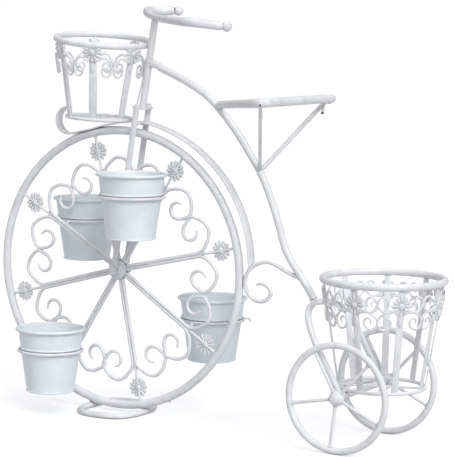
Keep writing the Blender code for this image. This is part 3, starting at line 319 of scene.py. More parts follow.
class PotSizes(bpy.types.PropertyGroup):
    top_radius: metres("Pot top radius", 0.0652, "Radius of a pot at its rim")
    base_radius: metres("Pot base radius", 0.0465, "Radius of a pot at its foot")
    height: metres("Pot height", 0.127, "Height of a pot")
    wall: metres("Pot wall", 0.0015, "Thickness of a pot's wall")
    roll: metres("Rim roll", 0.0031, "Radius of the rolled rim")
    bead_drop: metres("Bead drop", 0.0425, "From a pot's rim down to the bead that sits on its ring")
    bead_depth: metres("Bead depth", 0.0026, "How far the bead stands out")
    foot_depth: metres("Foot depth", 0.0018, "How far the base bead stands out")
    wire: metres("Ring wire", 0.0031, "Radius of the rings that hold the pots")
    stand_off: metres("Pot stand-off", 0.085, "From the wheel's middle plane to a pot's middle")


class PlanterColours(bpy.types.PropertyGroup):
    paint: colour("Paint", "#EFEFF1", "The iron's white paint")
    paint_shade: colour("Paint shade", "#E4E4E7", "Where the paint lies thicker and looks cooler")
    tin: colour("Pot enamel", "#EDF3F7", "The pots' bluish-white enamel")
    tin_shade: colour("Pot enamel shade", "#E3EAEE", "Where the enamel is thinner and greyer")
    bolt: colour("Bolt steel", "#38332F", "The dark bolts")
    bolt_bloom: colour("Bolt bloom", "#5B4B3E", "The brownish bloom on the bolts")
    floor: colour("Studio floor", "#BCBCC0", "The floor, which the lamps bring up to a pale grey")
    fill: colour("Studio fill", "#EEECEA", "The light that comes from all round")


def face_out(shape):
    """Turns a shape's faces outwards."""
    bmesh.ops.recalc_face_normals(shape, faces=shape.faces)
    return shape


def merge(shape):
    """Merges a shape's doubles and turns its faces outwards."""
    bmesh.ops.remove_doubles(shape, verts=shape.verts, dist=1e-6)
    return face_out(shape)


def mesh_of(shape, name):
    """Makes the shape a mesh and lets the shape go."""
    mesh = bpy.data.meshes.new(name)
    shape.to_mesh(mesh)
    shape.free()
    return mesh


def join(parts):
    """One shape of all the parts, each a shape or a pair of a shape and its place. The parts are used up."""
    whole = bmesh.new()
    for part in parts:
        shape, place = part if isinstance(part, tuple) else (part, Matrix.Identity(4))
        mesh = mesh_of(merge(shape), "part")
        first = len(whole.verts)
        whole.from_mesh(mesh)
        bpy.data.meshes.remove(mesh)
        whole.verts.ensure_lookup_table()
        bmesh.ops.transform(whole, matrix=place, verts=whole.verts[first:])
    return whole


def finish_piece(name, nodes, *parts, body="frame", slot="iron", material="powder_coated_iron", sharp_deg=35.0):
    """Joins the parts as one object with its finish, riding on its body in place of its CAD nodes."""
    mesh = mesh_of(face_out(join(parts)), name)
    mesh.materials.append(bpy.data.materials[material])
    mesh.shade_smooth()
    mesh.set_sharp_from_angle(angle=math.radians(sharp_deg))
    made = bpy.data.objects.new(name, mesh)
    bpy.context.scene.collection.objects.link(made)
    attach(made, body)
    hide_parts(*nodes)


def move(x, y, z):
    return Matrix.Translation((x, y, z))


def turned_to(point, way):
    """A matrix that puts an origin at the point and Z along the way."""
    return Matrix.Translation(point) @ Vector(way).to_track_quat("Z", "Y").to_matrix().to_4x4()


def bar_along(way):
    """A matrix that turns a flat bar's X axis along the way."""
    return way.to_track_quat("X", "Z").to_matrix().to_4x4() @ QUARTER_X


def way_at(angle_deg):
    """The direction in the planter's middle plane at this angle above the rear."""
    turn = math.radians(angle_deg)
    return Vector((math.cos(turn), 0, math.sin(turn)))


def about_hub(radius, angle_deg):
    """A point in the front wheel's plane, measured from its hub."""
    return HUB + way_at(angle_deg) * radius


def fork_point(distance):
    """A point on the fork's line, which runs from the front hub through the stem."""
    return about_hub(distance, 90.0 - math.degrees(bpy.context.scene.planter_frame.lean))


def mirrored_y(points):
    """The points with near and far exchanged, in the other order."""
    return [Vector((point.x, -point.y, point.z)) for point in reversed(points)]


def mirrored_profile(rows):
    """A closed profile from its upper half."""
    return [*rows, *((radius, -height) for radius, height in reversed(rows)), rows[0]]


def between(rows, place):
    """The value at a place in rows of (place, value), read straight from row to row."""
    for (one, low), (two, high) in zip(rows, rows[1:]):
        if min(one, two) <= place <= max(one, two):
            return low + (high - low) * (place - one) / (two - one)
    return rows[-1][1]


def straight(start, end, steps):
    """Evenly spread points from the start to the end."""
    return [Vector(start).lerp(Vector(end), step / steps) for step in range(steps + 1)]


def smooth_line(points, spacing):
    """A smooth line through the points, with a point at about every spacing."""
    lengths = [(two - one).length for one, two in zip(points, points[1:])]
    ways = [(two - one).normalized() for one, two in zip(points, points[1:])]
    slopes = [
        (way * after + on * before) / (before + after)
        for way, on, before, after in zip(ways, ways[1:], lengths, lengths[1:])
    ]
    slopes = [ways[0] * 1.5 - slopes[0] * 0.5, *slopes, ways[-1] * 1.5 - slopes[-1] * 0.5]
    line = []
    for one, two, length, leaves, arrives in zip(points, points[1:], lengths, slopes, slopes[1:]):
        steps = max(2, round(length / spacing) + 1)
        reach = length / 3
        line += interpolate_bezier(one, one + leaves * reach, two - arrives * reach, two, steps)[:-1]
    return line + [points[-1].copy()]


def bent_line(points, radius, steps):
    """A line through the points whose inner corners are round bends of one radius."""
    line = [points[0]]
    for before, corner, after in zip(points, points[1:], points[2:]):
        back = (before - corner).normalized()
        on = (after - corner).normalized()
        half = back.angle(on) / 2
        cut = radius / math.tan(half)
        centre = corner + (back + on).normalized() * radius / math.sin(half)
        first = (corner + back * cut - centre).normalized()
        last = (corner + on * cut - centre).normalized()
        line += [centre + first.slerp(last, step / steps) * radius for step in range(steps + 1)]
    return line + [points[-1]]


def runs(line):
    """How far along the line each of its points is."""
    return list(accumulate(((two - one).length for one, two in zip(line, line[1:])), initial=0.0))


def tapered(line, tail, least):
    """Shares that thin a rod's last length, its tail, down to the least share."""
    return [least + (1 - least) * min(1.0, done / tail) ** 0.7 for done in runs(line[::-1])][::-1]


def line_frames(line, cyclic):
    """A matrix at each point of the line: Z runs along it, and X keeps as level as it can to one side."""
    last = len(line) - 1
    side = Vector((0, 1, 0))
    frames = []
    for index, point in enumerate(line):
        before = line[index - 1] if cyclic or index else point
        after = line[(index + 1) % len(line)] if cyclic or index < last else point
        way = (after - before).normalized()
        if abs(side.dot(way)) > 0.95:
            side = way.orthogonal()
        side = (side - way * side.dot(way)).normalized()
        axes = Matrix((side, way.cross(side), way)).transposed().to_4x4()
        frames.append(Matrix.Translation(point) @ axes)
    return frames


def new_items(made, kind):
    return [item for item in made["geom"] if isinstance(item, kind)]


def bevel(shape, edges, width, segments):
    bmesh.ops.bevel(
        shape, geom=edges, offset=width, segments=segments, profile=0.5, affect="EDGES", material=-1, clamp_overlap=True
    )


def soften(shape, width, least_deg=40.0):
    """Bevels the edges of a shape that turn more sharply than the angle."""
    bevel(shape, [edge for edge in shape.edges if edge.calc_face_angle(0.0) > math.radians(least_deg)], width, 2)
    return shape


def rod(line, radius, sides=14, shares=None, cyclic=False, round_share=0.45):
    """A round bar along the line. Shares thin or thicken it, and its ends are rounded."""
    shape = bmesh.new()
    thick = [radius * share for share in shares or [1.0] * len(line)]
    places = [place @ Matrix.Diagonal((size, size, 1, 1)) for place, size in zip(line_frames(line, cyclic), thick)]
    bmesh.ops.create_circle(shape, segments=sides, radius=1.0, matrix=places[0])
    first = edges = shape.edges[:]
    for before, here in zip(places, places[1:]):
        grown = bmesh.ops.extrude_edge_only(shape, edges=edges)
        verts = new_items(grown, bmesh.types.BMVert)
        kept = set(verts)
        edges = [edge for edge in new_items(grown, bmesh.types.BMEdge) if kept.issuperset(edge.verts)]
        bmesh.ops.transform(shape, matrix=here @ before.inverted(), verts=verts)
    if cyclic:
        bmesh.ops.bridge_loops(shape, edges=first + edges)
        return shape
    for ends, size in ((first, thick[0]), (edges, thick[-1])):
        bmesh.ops.holes_fill(shape, edges=ends, sides=sides)
        bevel(shape, ends, size * round_share, 3)
    return shape


def full_turn(shape, steps):
    """Turns all of a flat shape about Z."""
    geom = shape.verts[:] + shape.edges[:]
    bmesh.ops.spin(shape, geom=geom, axis=(0, 0, 1), angle=math.tau, steps=steps, use_merge=True)
    return shape


def ring(radius, tube, steps=96, sides=16):
    """A round ring lying flat about the Z axis."""
    shape = bmesh.new()
    bmesh.ops.create_circle(shape, segments=sides, radius=tube, matrix=move(radius, 0, 0) @ QUARTER_X)
    return full_turn(shape, steps)


def chain(points):
    """The points as one line of edges."""
    shape = bmesh.new()
    corners = [shape.verts.new(point) for point in points]
    for pair in zip(corners, corners[1:]):
        shape.edges.new(pair)
    return shape


def turned(profile, steps, width=0.0):
    """A profile of (radius, height) turned about Z, with its sharp corners broken where a width is given."""
    shape = merge(full_turn(chain((radius, 0, height) for radius, height in profile), steps))
    return soften(shape, width) if width else shape


def flat_bar(length, width, thickness, broken=0.0006):
    """A flat bar along X with broken edges. Its thickness is along Y and its width along Z."""
    shape = bmesh.new()
    bmesh.ops.create_cube(shape, size=1.0, matrix=Matrix.Diagonal((length, thickness, width, 1)))
    return soften(shape, broken)


def thicken(shape, way):
    """Extrudes all of a flat shape along the way."""
    grown = bmesh.ops.extrude_face_region(shape, geom=list(shape.faces))
    bmesh.ops.translate(shape, verts=new_items(grown, bmesh.types.BMVert), vec=way)
    return shape


def round_ended_plate(length, width, thickness):
    """A plate in XY whose two ends are half circles. It starts at the origin's circle and runs along Y."""
    shape = bmesh.new()
    half_step = Matrix.Rotation(math.pi / 32, 4, "Z")
    made = bmesh.ops.create_circle(shape, cap_ends=True, segments=32, radius=width / 2, matrix=half_step)
    far = [vert for vert in made["verts"] if vert.co.y > 0]
    bmesh.ops.translate(shape, verts=far, vec=(0, length - width, 0))
    thicken(shape, (0, 0, thickness))
    bmesh.ops.translate(shape, verts=shape.verts, vec=(0, 0, -thickness / 2))
    return soften(face_out(shape), 0.0007)


def band(line, width):
    """A band with no thickness along a line in the XZ plane. Its width is along Y."""
    shape = chain(point - Vector((0, width / 2, 0)) for point in line)
    grown = bmesh.ops.extrude_edge_only(shape, edges=shape.edges[:])
    bmesh.ops.translate(shape, verts=new_items(grown, bmesh.types.BMVert), vec=(0, width, 0))
    return face_out(shape)


def ribbon(line, width, thickness, broken=0.0006):
    """A flat bar bent along a line in the XZ plane, half its thickness to each side."""
    shape = band(line, width)
    for vert in shape.verts:
        vert.normal_update()
    for vert in shape.verts:
        vert.co -= vert.normal * thickness / 2
    bmesh.ops.solidify(shape, geom=list(shape.faces), thickness=-thickness)
    return soften(face_out(shape), broken, least_deg=60.0)


def ribbon_up(line, width, thickness):
    """A narrow strip up a wall, for the folded seam of a pot."""
    return soften(face_out(thicken(band(line, width), (thickness, 0, 0))), thickness * 0.35)


def weld_bead(radius, bead, ripples=9):
    """The rippled ring of weld round a rod's foot, flat about Z."""
    shape = ring(radius, bead, steps=4 * ripples, sides=8)
    for vert in shape.verts:
        turn = math.atan2(vert.co.y, vert.co.x)
        around = Vector((math.cos(turn), math.sin(turn), 0)) * radius
        swell = 1.0 + 0.22 * math.cos(ripples * turn) + 0.10 * math.sin(2.3 * turn + 1.0)
        vert.co = around + (vert.co - around) * swell
    return shape


def weld_spot(length, width, height):
    """A low lump of weld, longest along X."""
    shape = bmesh.new()
    bmesh.ops.create_icosphere(shape, subdivisions=2, radius=1.0)
    for vert in shape.verts:
        vert.co *= 1.0 + 0.10 * math.sin(7.0 * vert.co.x + 3.0 * vert.co.y) * math.cos(5.0 * vert.co.z)
    bmesh.ops.transform(shape, matrix=Matrix.Diagonal((length / 2, width / 2, height / 2, 1)), verts=shape.verts)
    return shape


def daisy_shape(radius):
    """A pressed-tin daisy facing +Z with its back on the XY plane: ribbed petals round a domed boss."""
    sizes = bpy.context.scene.planter_wheels
    depth = sizes.daisy_depth
    inner, back, boss = radius * 0.20, radius * 0.84, radius * 0.30
    parts = []
    for index in range(sizes.petals):
        petal = bmesh.new()
        bmesh.ops.create_uvsphere(petal, u_segments=10, v_segments=8, radius=1.0)
        bmesh.ops.transform(petal, matrix=QUARTER_Y, verts=petal.verts)
        for vert in petal.verts:
            # The power blunts both ends of the ball, and the petal widens and flattens to its tip
            along = (math.copysign(abs(vert.co.x) ** 0.55, vert.co.x) + 1) / 2
            half_width = radius * (0.060 + 0.178 * along)
            lift = depth * (0.62 - 0.34 * along) * (0.45 + 0.55 * (1 - abs(vert.co.y)))
            vert.co = (inner + (radius - inner) * along, vert.co.y * half_width, lift + vert.co.z * depth * 0.16)
        parts.append((petal, Matrix.Rotation(math.tau * index / sizes.petals, 4, "Z")))
    # A backing disc behind the petals: in the slots between them the paint's painted crevice shade shows it dark
    disc = [(0, 0), (back * 0.97, 0), (back, depth * 0.05), (back * 0.97, depth * 0.12), (0, depth * 0.12)]
    dome = [(0, depth), (boss * 0.45, depth * 0.95), (boss * 0.82, depth * 0.76), (boss, depth * 0.48)]
    dome += [(boss * 0.98, depth * 0.20), (boss * 0.7, 0), (0, 0)]
    return join([*parts, turned(disc, 36), turned(dome, 24)])


def feed(tree, node, links):
    for name, source in links.items():
        tree.links.new(source, node.inputs[name])


def add_node(tree, kind, settings=None, values=None, links=None):
    """Adds one node to the tree with its settings, its sockets' values and its links, and gives its outputs."""
    made = tree.nodes.new(kind)
    for name, value in (settings or {}).items():
        setattr(made, name, value)
    for name, value in (values or {}).items():
        made.inputs[name].default_value = value
    feed(tree, made, links or {})
    return made.outputs


def new_material(name):
    """A named material with an empty tree but for its shader and output."""
    made = bpy.data.materials.new(name)
    made.use_nodes = True
    return made, made.node_tree, made.node_tree.nodes["Principled BSDF"]


def coated_material(name, colour_a, colour_b, roughness, patch_mm, peel_mm, peel_height):
    """A paint whose tone drifts in patches, with shade painted into its crevices, and whose skin has the fine dimple of
    sprayed coating.
    """
    _, tree, shader = new_material(name)
    vector = {"Vector": add_node(tree, "ShaderNodeTexCoord")["Object"]}
    scale = {"Scale": 1000 / patch_mm, "Detail": 3.0, "Roughness": 0.55}
    patches = add_node(tree, "ShaderNodeTexNoise", values=scale, links=vector)["Fac"]
    bounds = {"From Min": 0.35, "From Max": 0.68}
    tone = add_node(tree, "ShaderNodeMapRange", values=bounds, links={"Value": patches})["Result"]
    coats = {"A": colour_a, "B": colour_b}
    coat = add_node(tree, "ShaderNodeMix", {"data_type": "RGBA"}, coats, {"Factor": tone})["Result"]
    # Painted shade: the colour darkens towards a dark grey where ambient occlusion finds faces close by, where pieces
    # meet and in the slots between a daisy's petals
    sky = add_node(tree, "ShaderNodeAmbientOcclusion", {"samples": 8}, {"Distance": CREVICE_REACH})["AO"]
    bounds = {"From Min": CREVICE_FROM, "From Max": CREVICE_TO, "To Max": 0.85}
    crevice = add_node(tree, "ShaderNodeMapRange", values=bounds, links={"Value": sky})["Result"]
    links = {"A": coat, "Factor": crevice}
    painted_shade_coat = add_node(tree, "ShaderNodeMix", {"data_type": "RGBA"}, {"B": linear(CREVICE_PAINTED_SHADE)}, links)["Result"]
    bounds = {"To Min": roughness - 0.05, "To Max": roughness + 0.10}
    gloss = add_node(tree, "ShaderNodeMapRange", values=bounds, links={"Value": patches})["Result"]
    scale = {"Scale": 1000 / peel_mm, "Detail": 2.0}
    peel = add_node(tree, "ShaderNodeTexNoise", values=scale, links=vector)["Fac"]
    depth = {"Strength": 0.5, "Distance": peel_height}
    dimple = add_node(tree, "ShaderNodeBump", values=depth, links={"Height": peel})["Normal"]
    feed(tree, shader, {"Base Color": painted_shade_coat, "Roughness": gloss, "Normal": dimple})


def spoke_turn(index):
    """The angle of a scroll spoke of the front wheel above the rear, in radians."""
    sizes = bpy.context.scene.planter_wheels
    shift = math.radians(SPOKE_SHIFTS_DEG[index % len(SPOKE_SHIFTS_DEG)])
    return sizes.phase + math.tau * index / sizes.spokes + shift


def scroll_line(side):
    """One rod of a spoke in its own plane: from the hub along X, then round its scroll."""
    sizes = bpy.context.scene.planter_wheels
    radius, beside = sizes.rim_radius, sizes.rod * 0.86
    points = [Vector((sizes.hub_radius - 0.001, 0, beside))]
    points += [Vector((radius * share, 0, beside)) for share in (0.30, 0.55, 0.64, 0.675)]
    points += [Vector((along * radius, 0, across * radius)) for along, across in SCROLL_SHARES]
    return [Vector((point.x, 0, side * point.z)) for point in smooth_line(points, 0.0028)]


class PLANTER_OT_finishes(bpy.types.Operator):
    """Mix the paint, the enamel and the bolt steel that the pieces share"""

    bl_idname = "planter.finishes"
    bl_label = "Finishes"

    def execute(self, context):
        colours = context.scene.planter_colours
        # White powder-coated wrought iron: a soft half gloss, cooler where the powder lies thick, with an
        # orange peel of about 2 mm, drawn coarser than the real one so that it shows
        coated_material("powder_coated_iron", colours.paint, colours.paint_shade, 0.40, 22.0, 2.2, 0.00012)
        # Enamelled tinplate: smoother and bluer than the iron, with slow cloudy patches and faint dents
        coated_material("enamelled_tinplate", colours.tin, colours.tin_shade, 0.30, 48.0, 9.0, 0.00025)
        # Blackened bolt steel: dark metal with a brownish bloom, in specks of about 2 mm, that breaks up
        # its gleam
        _, tree, shader = new_material("blackened_bolt_steel")
        place = add_node(tree, "ShaderNodeTexCoord")["Object"]
        scale = {"Scale": 450.0, "Detail": 4.0}
        bloom = add_node(tree, "ShaderNodeTexNoise", values=scale, links={"Vector": place})["Fac"]
        tones = {"A": colours.bolt, "B": colours.bolt_bloom}
        tone = add_node(tree, "ShaderNodeMix", {"data_type": "RGBA"}, tones, {"Factor": bloom})["Result"]
        bounds = {"To Min": 0.35, "To Max": 0.65}
        rough = add_node(tree, "ShaderNodeMapRange", values=bounds, links={"Value": bloom})["Result"]
        feed(tree, shader, {"Base Color": tone, "Roughness": rough})
        shader.inputs["Metallic"].default_value = 0.9
        return {"FINISHED"}


class PLANTER_OT_front_wheel(bpy.types.Operator):
    """Build the front wheel's rim and hub"""

    bl_idname = "planter.front_wheel"
    bl_label = "Front wheel"

    def execute(self, context):
        sizes, legs = context.scene.planter_wheels, context.scene.planter_frame
        upright = Matrix.Translation(HUB) @ QUARTER_X
        joint = turned_to(about_hub(sizes.rim_radius, RIM_JOINT_DEG), way_at(RIM_JOINT_DEG + 90.0))
        finish_piece(
            "front_wheel_rim",
            ["front_rim"],
            (ring(sizes.rim_radius, sizes.rim_tube, 144, 20), move(*RIM_SHIFT) @ upright),
            (weld_bead(sizes.rim_tube * 0.96, 0.0009), joint),
        )

        bolt, half, out = sizes.pin_radius, sizes.hub_half, sizes.hub_radius
        face = legs.leg_spacing - legs.leg_thickness / 2 - GAP
        shoulder, groove = bolt * 2, out * 0.04
        rows = [(bolt + GAP, face), (shoulder, face), (shoulder * 1.03, half + groove), (shoulder * 1.15, half)]
        rows += [(out * 0.80, half), (out * 0.84, half - groove), (out * 0.90, half - groove), (out * 0.94, half)]
        rows += [(out, half), (out, half * 0.62), (out - groove, half * 0.50)]
        finish_piece("front_wheel_hub", ["front_hub"], (turned(mirrored_profile(rows), 48, 0.0003), upright))

        seat = legs.leg_spacing + legs.leg_thickness / 2 + GAP
        parts = [(turned([(0, -seat), (bolt, -seat), (bolt, seat), (0, seat)], 24), upright)]
        lift = move(0, 0, WASHER[-1][1] + NUT_DEPTH / 2)
        for side in SIDES.values():
            outward = turned_to(HUB + Vector((0, side * seat, 0)), (0, side, 0))
            parts.append((turned(WASHER, 40), outward))
            nut = bmesh.new()
            bmesh.ops.create_cone(
                nut, cap_ends=True, segments=6, radius1=NUT_RADIUS, radius2=NUT_RADIUS, depth=NUT_DEPTH, matrix=lift
            )
            parts.append((soften(nut, 0.0005), outward))
        finish_piece("front_axle_bolt", ["hub_bolt"], *parts, slot="bolt", sharp_deg=28.0)
        return {"FINISHED"}


class PLANTER_OT_scroll_spokes(bpy.types.Operator):
    """Build the front wheel's pairs of scrolled spoke rods and the daisies between them and the rim"""

    bl_idname = "planter.scroll_spokes"
    bl_label = "Scroll spokes"

    def execute(self, context):
        sizes = context.scene.planter_wheels
        radius = sizes.rim_radius
        lines = [scroll_line(side) for side in SIDES.values()]
        parts = [rod(line, sizes.rod, 12, tapered(line, 0.024, 0.45)) for line in lines]
        parts.append((weld_spot(0.015, 0.0050, 0.0062), move(radius * CROTCH_SHARE, 0, 0)))
        foot = turned_to((sizes.hub_radius + 0.0004, 0, 0), (1, 0, 0)) @ Matrix.Diagonal((1.0, 1.75, 1, 1))
        parts.append((weld_bead(sizes.rod * 1.05, 0.0011, 7), foot))
        for side in SIDES.values():
            half_cell = side * 180.0 / sizes.spokes
            beside = way_at(half_cell + 90.0)
            meeting = way_at(half_cell) * radius * MEETING_SHARE - beside * side * 0.0009
            parts.append((weld_spot(0.006, 0.0042, 0.0024), turned_to(meeting, beside)))
        pair = join(parts)

        end = radius - sizes.rim_tube * 0.55
        stem = join(
            [
                rod(straight((STEM_SHARE * radius, 0, 0), (end, 0, 0), 6), sizes.stem_rod, 12),
                (weld_bead(sizes.stem_rod * 1.1, 0.0010, 6), turned_to((end - 0.0012, 0, 0), (1, 0, 0))),
                (daisy_shape(sizes.daisy), move(radius * DAISY_SHARE, sizes.daisy_depth / 4, 0) @ QUARTER_X),
            ]
        )
        for index in range(sizes.spokes):
            place = Matrix.Translation(HUB) @ Matrix.Rotation(-spoke_turn(index), 4, "Y")
            finish_piece(f"scroll_pair_{index + 1}", [f"scroll_spoke_{index + 1}"], (pair.copy(), place))
            finish_piece(f"daisy_on_stem_{index + 1}", [f"flower_stem_{index + 1}"], (stem.copy(), place))
        return {"FINISHED"}


class PLANTER_OT_foot_loop(bpy.types.Operator):
    """Build the rounded foot loop that the front wheel stands on"""

    bl_idname = "planter.foot_loop"
    bl_label = "Foot loop"

    def execute(self, context):
        sizes = context.scene.planter_frame
        low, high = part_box("foot_loop")
        centre = Vector((HUB.x - FOOT_LEAD, 0, (low.z + high.z) / 2))
        line = []
        for step in range(96):
            turn = math.tau * step / 96
            x, y = (math.copysign(abs(share) ** FOOT_POWER, share) for share in (math.cos(turn), math.sin(turn)))
            line.append(centre + Vector((x * sizes.foot_half_length, y * sizes.foot_half_width, 0)))
        parts = [rod(line, (high.z - low.z) / 2, 20, cyclic=True)]
        for side in SIDES.values():
            touch = Vector((centre.x + side * sizes.foot_half_length, 0, centre.z))
            outward = (HUB - touch).normalized()
            lie = turned_to(touch + outward * sizes.foot_tube, outward) @ QUARTER_Z
            parts.append((weld_spot(0.011, 0.0085, 0.0030), lie))
        finish_piece("foot_loop_tube", ["foot_loop"], *parts)
        return {"FINISHED"}


class PLANTER_OT_fork(bpy.types.Operator):
    """Build the fork's two legs, its crown and its bridge"""

    bl_idname = "planter.fork"
    bl_label = "Fork"

    def execute(self, context):
        sizes = context.scene.planter_frame
        lean = Matrix.Rotation(sizes.lean, 4, "Y")
        for name, side in SIDES.items():
            leg = round_ended_plate(sizes.leg_top + sizes.leg_width / 2, sizes.leg_width, sizes.leg_thickness)
            place = Matrix.Translation(HUB + Vector((0, side * sizes.leg_spacing, 0))) @ lean @ QUARTER_X
            finish_piece(f"fork_blade_{name}", [f"fork_leg_{name}"], (leg, place))
        inside = 2 * (sizes.leg_spacing - sizes.leg_thickness / 2)
        across = QUARTER_Z @ QUARTER_X @ Matrix.Rotation(math.pi, 4, "X")
        for node, name, distance, length, thickness in (
            ("fork_crown", "crown_plate", sizes.crown_place, 0.024, 0.0038),
            ("fork_bridge", "bridge_plate", sizes.bridge_place, 0.016, 0.005),
        ):
            place = Matrix.Translation(fork_point(distance)) @ lean
            parts = [(flat_bar(inside - 0.0004, length, thickness, 0.0008), place @ across)]
            for side in SIDES.values():
                end = move(0, side * (inside / 2 - 0.0006), thickness / 2)
                parts.append((weld_spot(length * 0.8, 0.0030, 0.0026), place @ end))
            finish_piece(name, [node], *parts)
        return {"FINISHED"}


class PLANTER_OT_handlebar(bpy.types.Operator):
    """Build the stem, the swept handlebar and the balls on its ends"""

    bl_idname = "planter.handlebar"
    bl_label = "Stem and handlebar"

    def execute(self, context):
        sizes = context.scene.planter_frame
        foot, top = sizes.crown_place + 0.0045 / 2, sizes.stem_top + STEM_RISE
        way = (fork_point(1.0) - HUB).normalized()
        finish_piece(
            "stem_tube",
            ["stem"],
            rod(straight(fork_point(foot), fork_point(top), 8), sizes.stem, 24, round_share=0.15),
            (weld_bead(sizes.stem, 0.0013, 11), turned_to(fork_point(foot + 0.0006), way)),
            (weld_bead(sizes.stem * 0.86, 0.0013, 10), turned_to(fork_point(top - 0.0005), way)),
        )

        half_width = sizes.bar_half_width
        centre = fork_point(top + GAP + sizes.bar * BAR_SHARES[0][3])
        turn = Matrix.Rotation(sizes.lean, 4, "Y") @ Matrix.Rotation(sizes.bar_turn, 4, "Z")
        place = Matrix.Translation(centre) @ turn @ Matrix.Rotation(-sizes.bar_roll, 4, "X")
        half = [
            Vector((back * sizes.bar_sweep, side * half_width, up * sizes.bar_rise)) for side, back, up, _ in BAR_SHARES
        ]
        half[-1].x += sizes.knob * 0.15
        near = mirrored_y(half[1:])
        half[-1] += Vector(FAR_GRIP_BEND)
        line = smooth_line(near + half, 0.004)
        rows = [(row[0], row[3]) for row in BAR_SHARES[:6]]
        shares = [
            between(rows, abs(point.y) / half_width) * (1.0 + FAR_GRIP_SWELL * min(1.0, max(0.0, point.y / half_width)))
            for point in line
        ]
        finish_piece("handlebar_tube", ["handlebar"], (rod(line, sizes.bar, 24, shares, round_share=0.35), place))

        ball, neck, run = sizes.knob, sizes.bar * 0.62, 0.0010
        rise = run + math.sqrt(ball**2 - neck**2)
        start = math.asin(neck / ball)
        profile = [(0, rise + ball)]
        for step in range(1, 17):
            angle = (math.pi - start) * step / 16
            profile.append((ball * math.sin(angle), rise + ball * math.cos(angle)))
        profile += [(neck * 0.94, run * 0.5), (neck * 1.25, 0.0002), (0, 0)]
        for name, tip in (("near", near[0]), ("far", half[-1])):
            seat = place @ (Matrix.Translation(tip) @ QUARTER_Y)
            finish_piece(f"handlebar_ball_{name}", [f"bar_knob_{name}"], (turned(profile, 32), seat))
        return {"FINISHED"}


def main_tube_point(angle_deg, share):
    wheels, sizes = bpy.context.scene.planter_wheels, bpy.context.scene.planter_frame
    return about_hub(wheels.rim_radius + sizes.stand_off * share, angle_deg)


def on_main_tube(angle_deg):
    """The point of the main tube's middle line at this angle round the front hub."""
    return main_tube_point(angle_deg, between(MAIN_TUBE_SHARES, angle_deg))


def link_points():
    """The link scroll's line, from the main tube round its loop to its curled end."""
    wheels, sizes = bpy.context.scene.planter_wheels, bpy.context.scene.planter_frame
    loop = sizes.link_loop
    centre = HUB + Vector((wheels.rim_radius + wheels.rim_tube + sizes.link + loop * 0.930, 0, -LINK_DROP))
    points = [on_main_tube(LINK_FOOT_DEG)]
    points += [centre + Vector((loop * x, 0, loop * z)) for x, z in LINK_RISE_SHARES]
    points += [centre + way_at(angle) * loop * share for angle, share in LINK_TURN_SHARES]
    return points


class PLANTER_OT_main_tube(bpy.types.Operator):
    """Build the curved main tube, the mudguard strip and the link scroll"""

    bl_idname = "planter.main_tube"
    bl_label = "Main tube and mudguard"

    def execute(self, context):
        sizes, wheels = context.scene.planter_frame, context.scene.planter_wheels
        points = [main_tube_point(*row) for row in MAIN_TUBE_SHARES]
        points.insert(0, fork_point((points[0] - HUB).length))
        way = (points[1] - points[0]).normalized()
        finish_piece(
            "main_tube_bend",
            ["main_tube"],
            rod(smooth_line(points, 0.006), sizes.main_tube, 24, round_share=0.2),
            (weld_bead(sizes.main_tube * 0.98, 0.0014, 11), turned_to(points[0] + way * (sizes.stem + 0.001), way)),
        )

        rows = []
        first, last = MUDGUARD_DEG
        for step in range(13):
            along = step / 12
            stand_off = MUDGUARD_STAND_OFF + MUDGUARD_BULGE * math.sin(math.pi * along**1.4)
            rows.append(about_hub(wheels.rim_radius + stand_off, first + (last - first) * along))
        strip = ribbon(smooth_line(rows, 0.006), sizes.mudguard, sizes.mudguard_thickness, 0.0009)
        finish_piece("mudguard_strip", ["mudguard"], strip)

        points = link_points()
        line = smooth_line(points, 0.003)
        rise = (points[1] - points[0]).normalized()
        touch = HUB + Vector((wheels.rim_radius + wheels.rim_tube + 0.0002, 0, -LINK_DROP))
        finish_piece(
            "link_scroll_rod",
            ["link_scroll"],
            rod(line, sizes.link, 14, tapered(line, 0.022, 0.5)),
            (weld_bead(sizes.link * 1.05, 0.0011, 8), turned_to(points[0] + rise * (sizes.main_tube + 0.0005), rise)),
            (weld_spot(0.010, 0.0046, 0.0026), turned_to(touch, (1, 0, 0)) @ QUARTER_Z),
        )
        return {"FINISHED"}


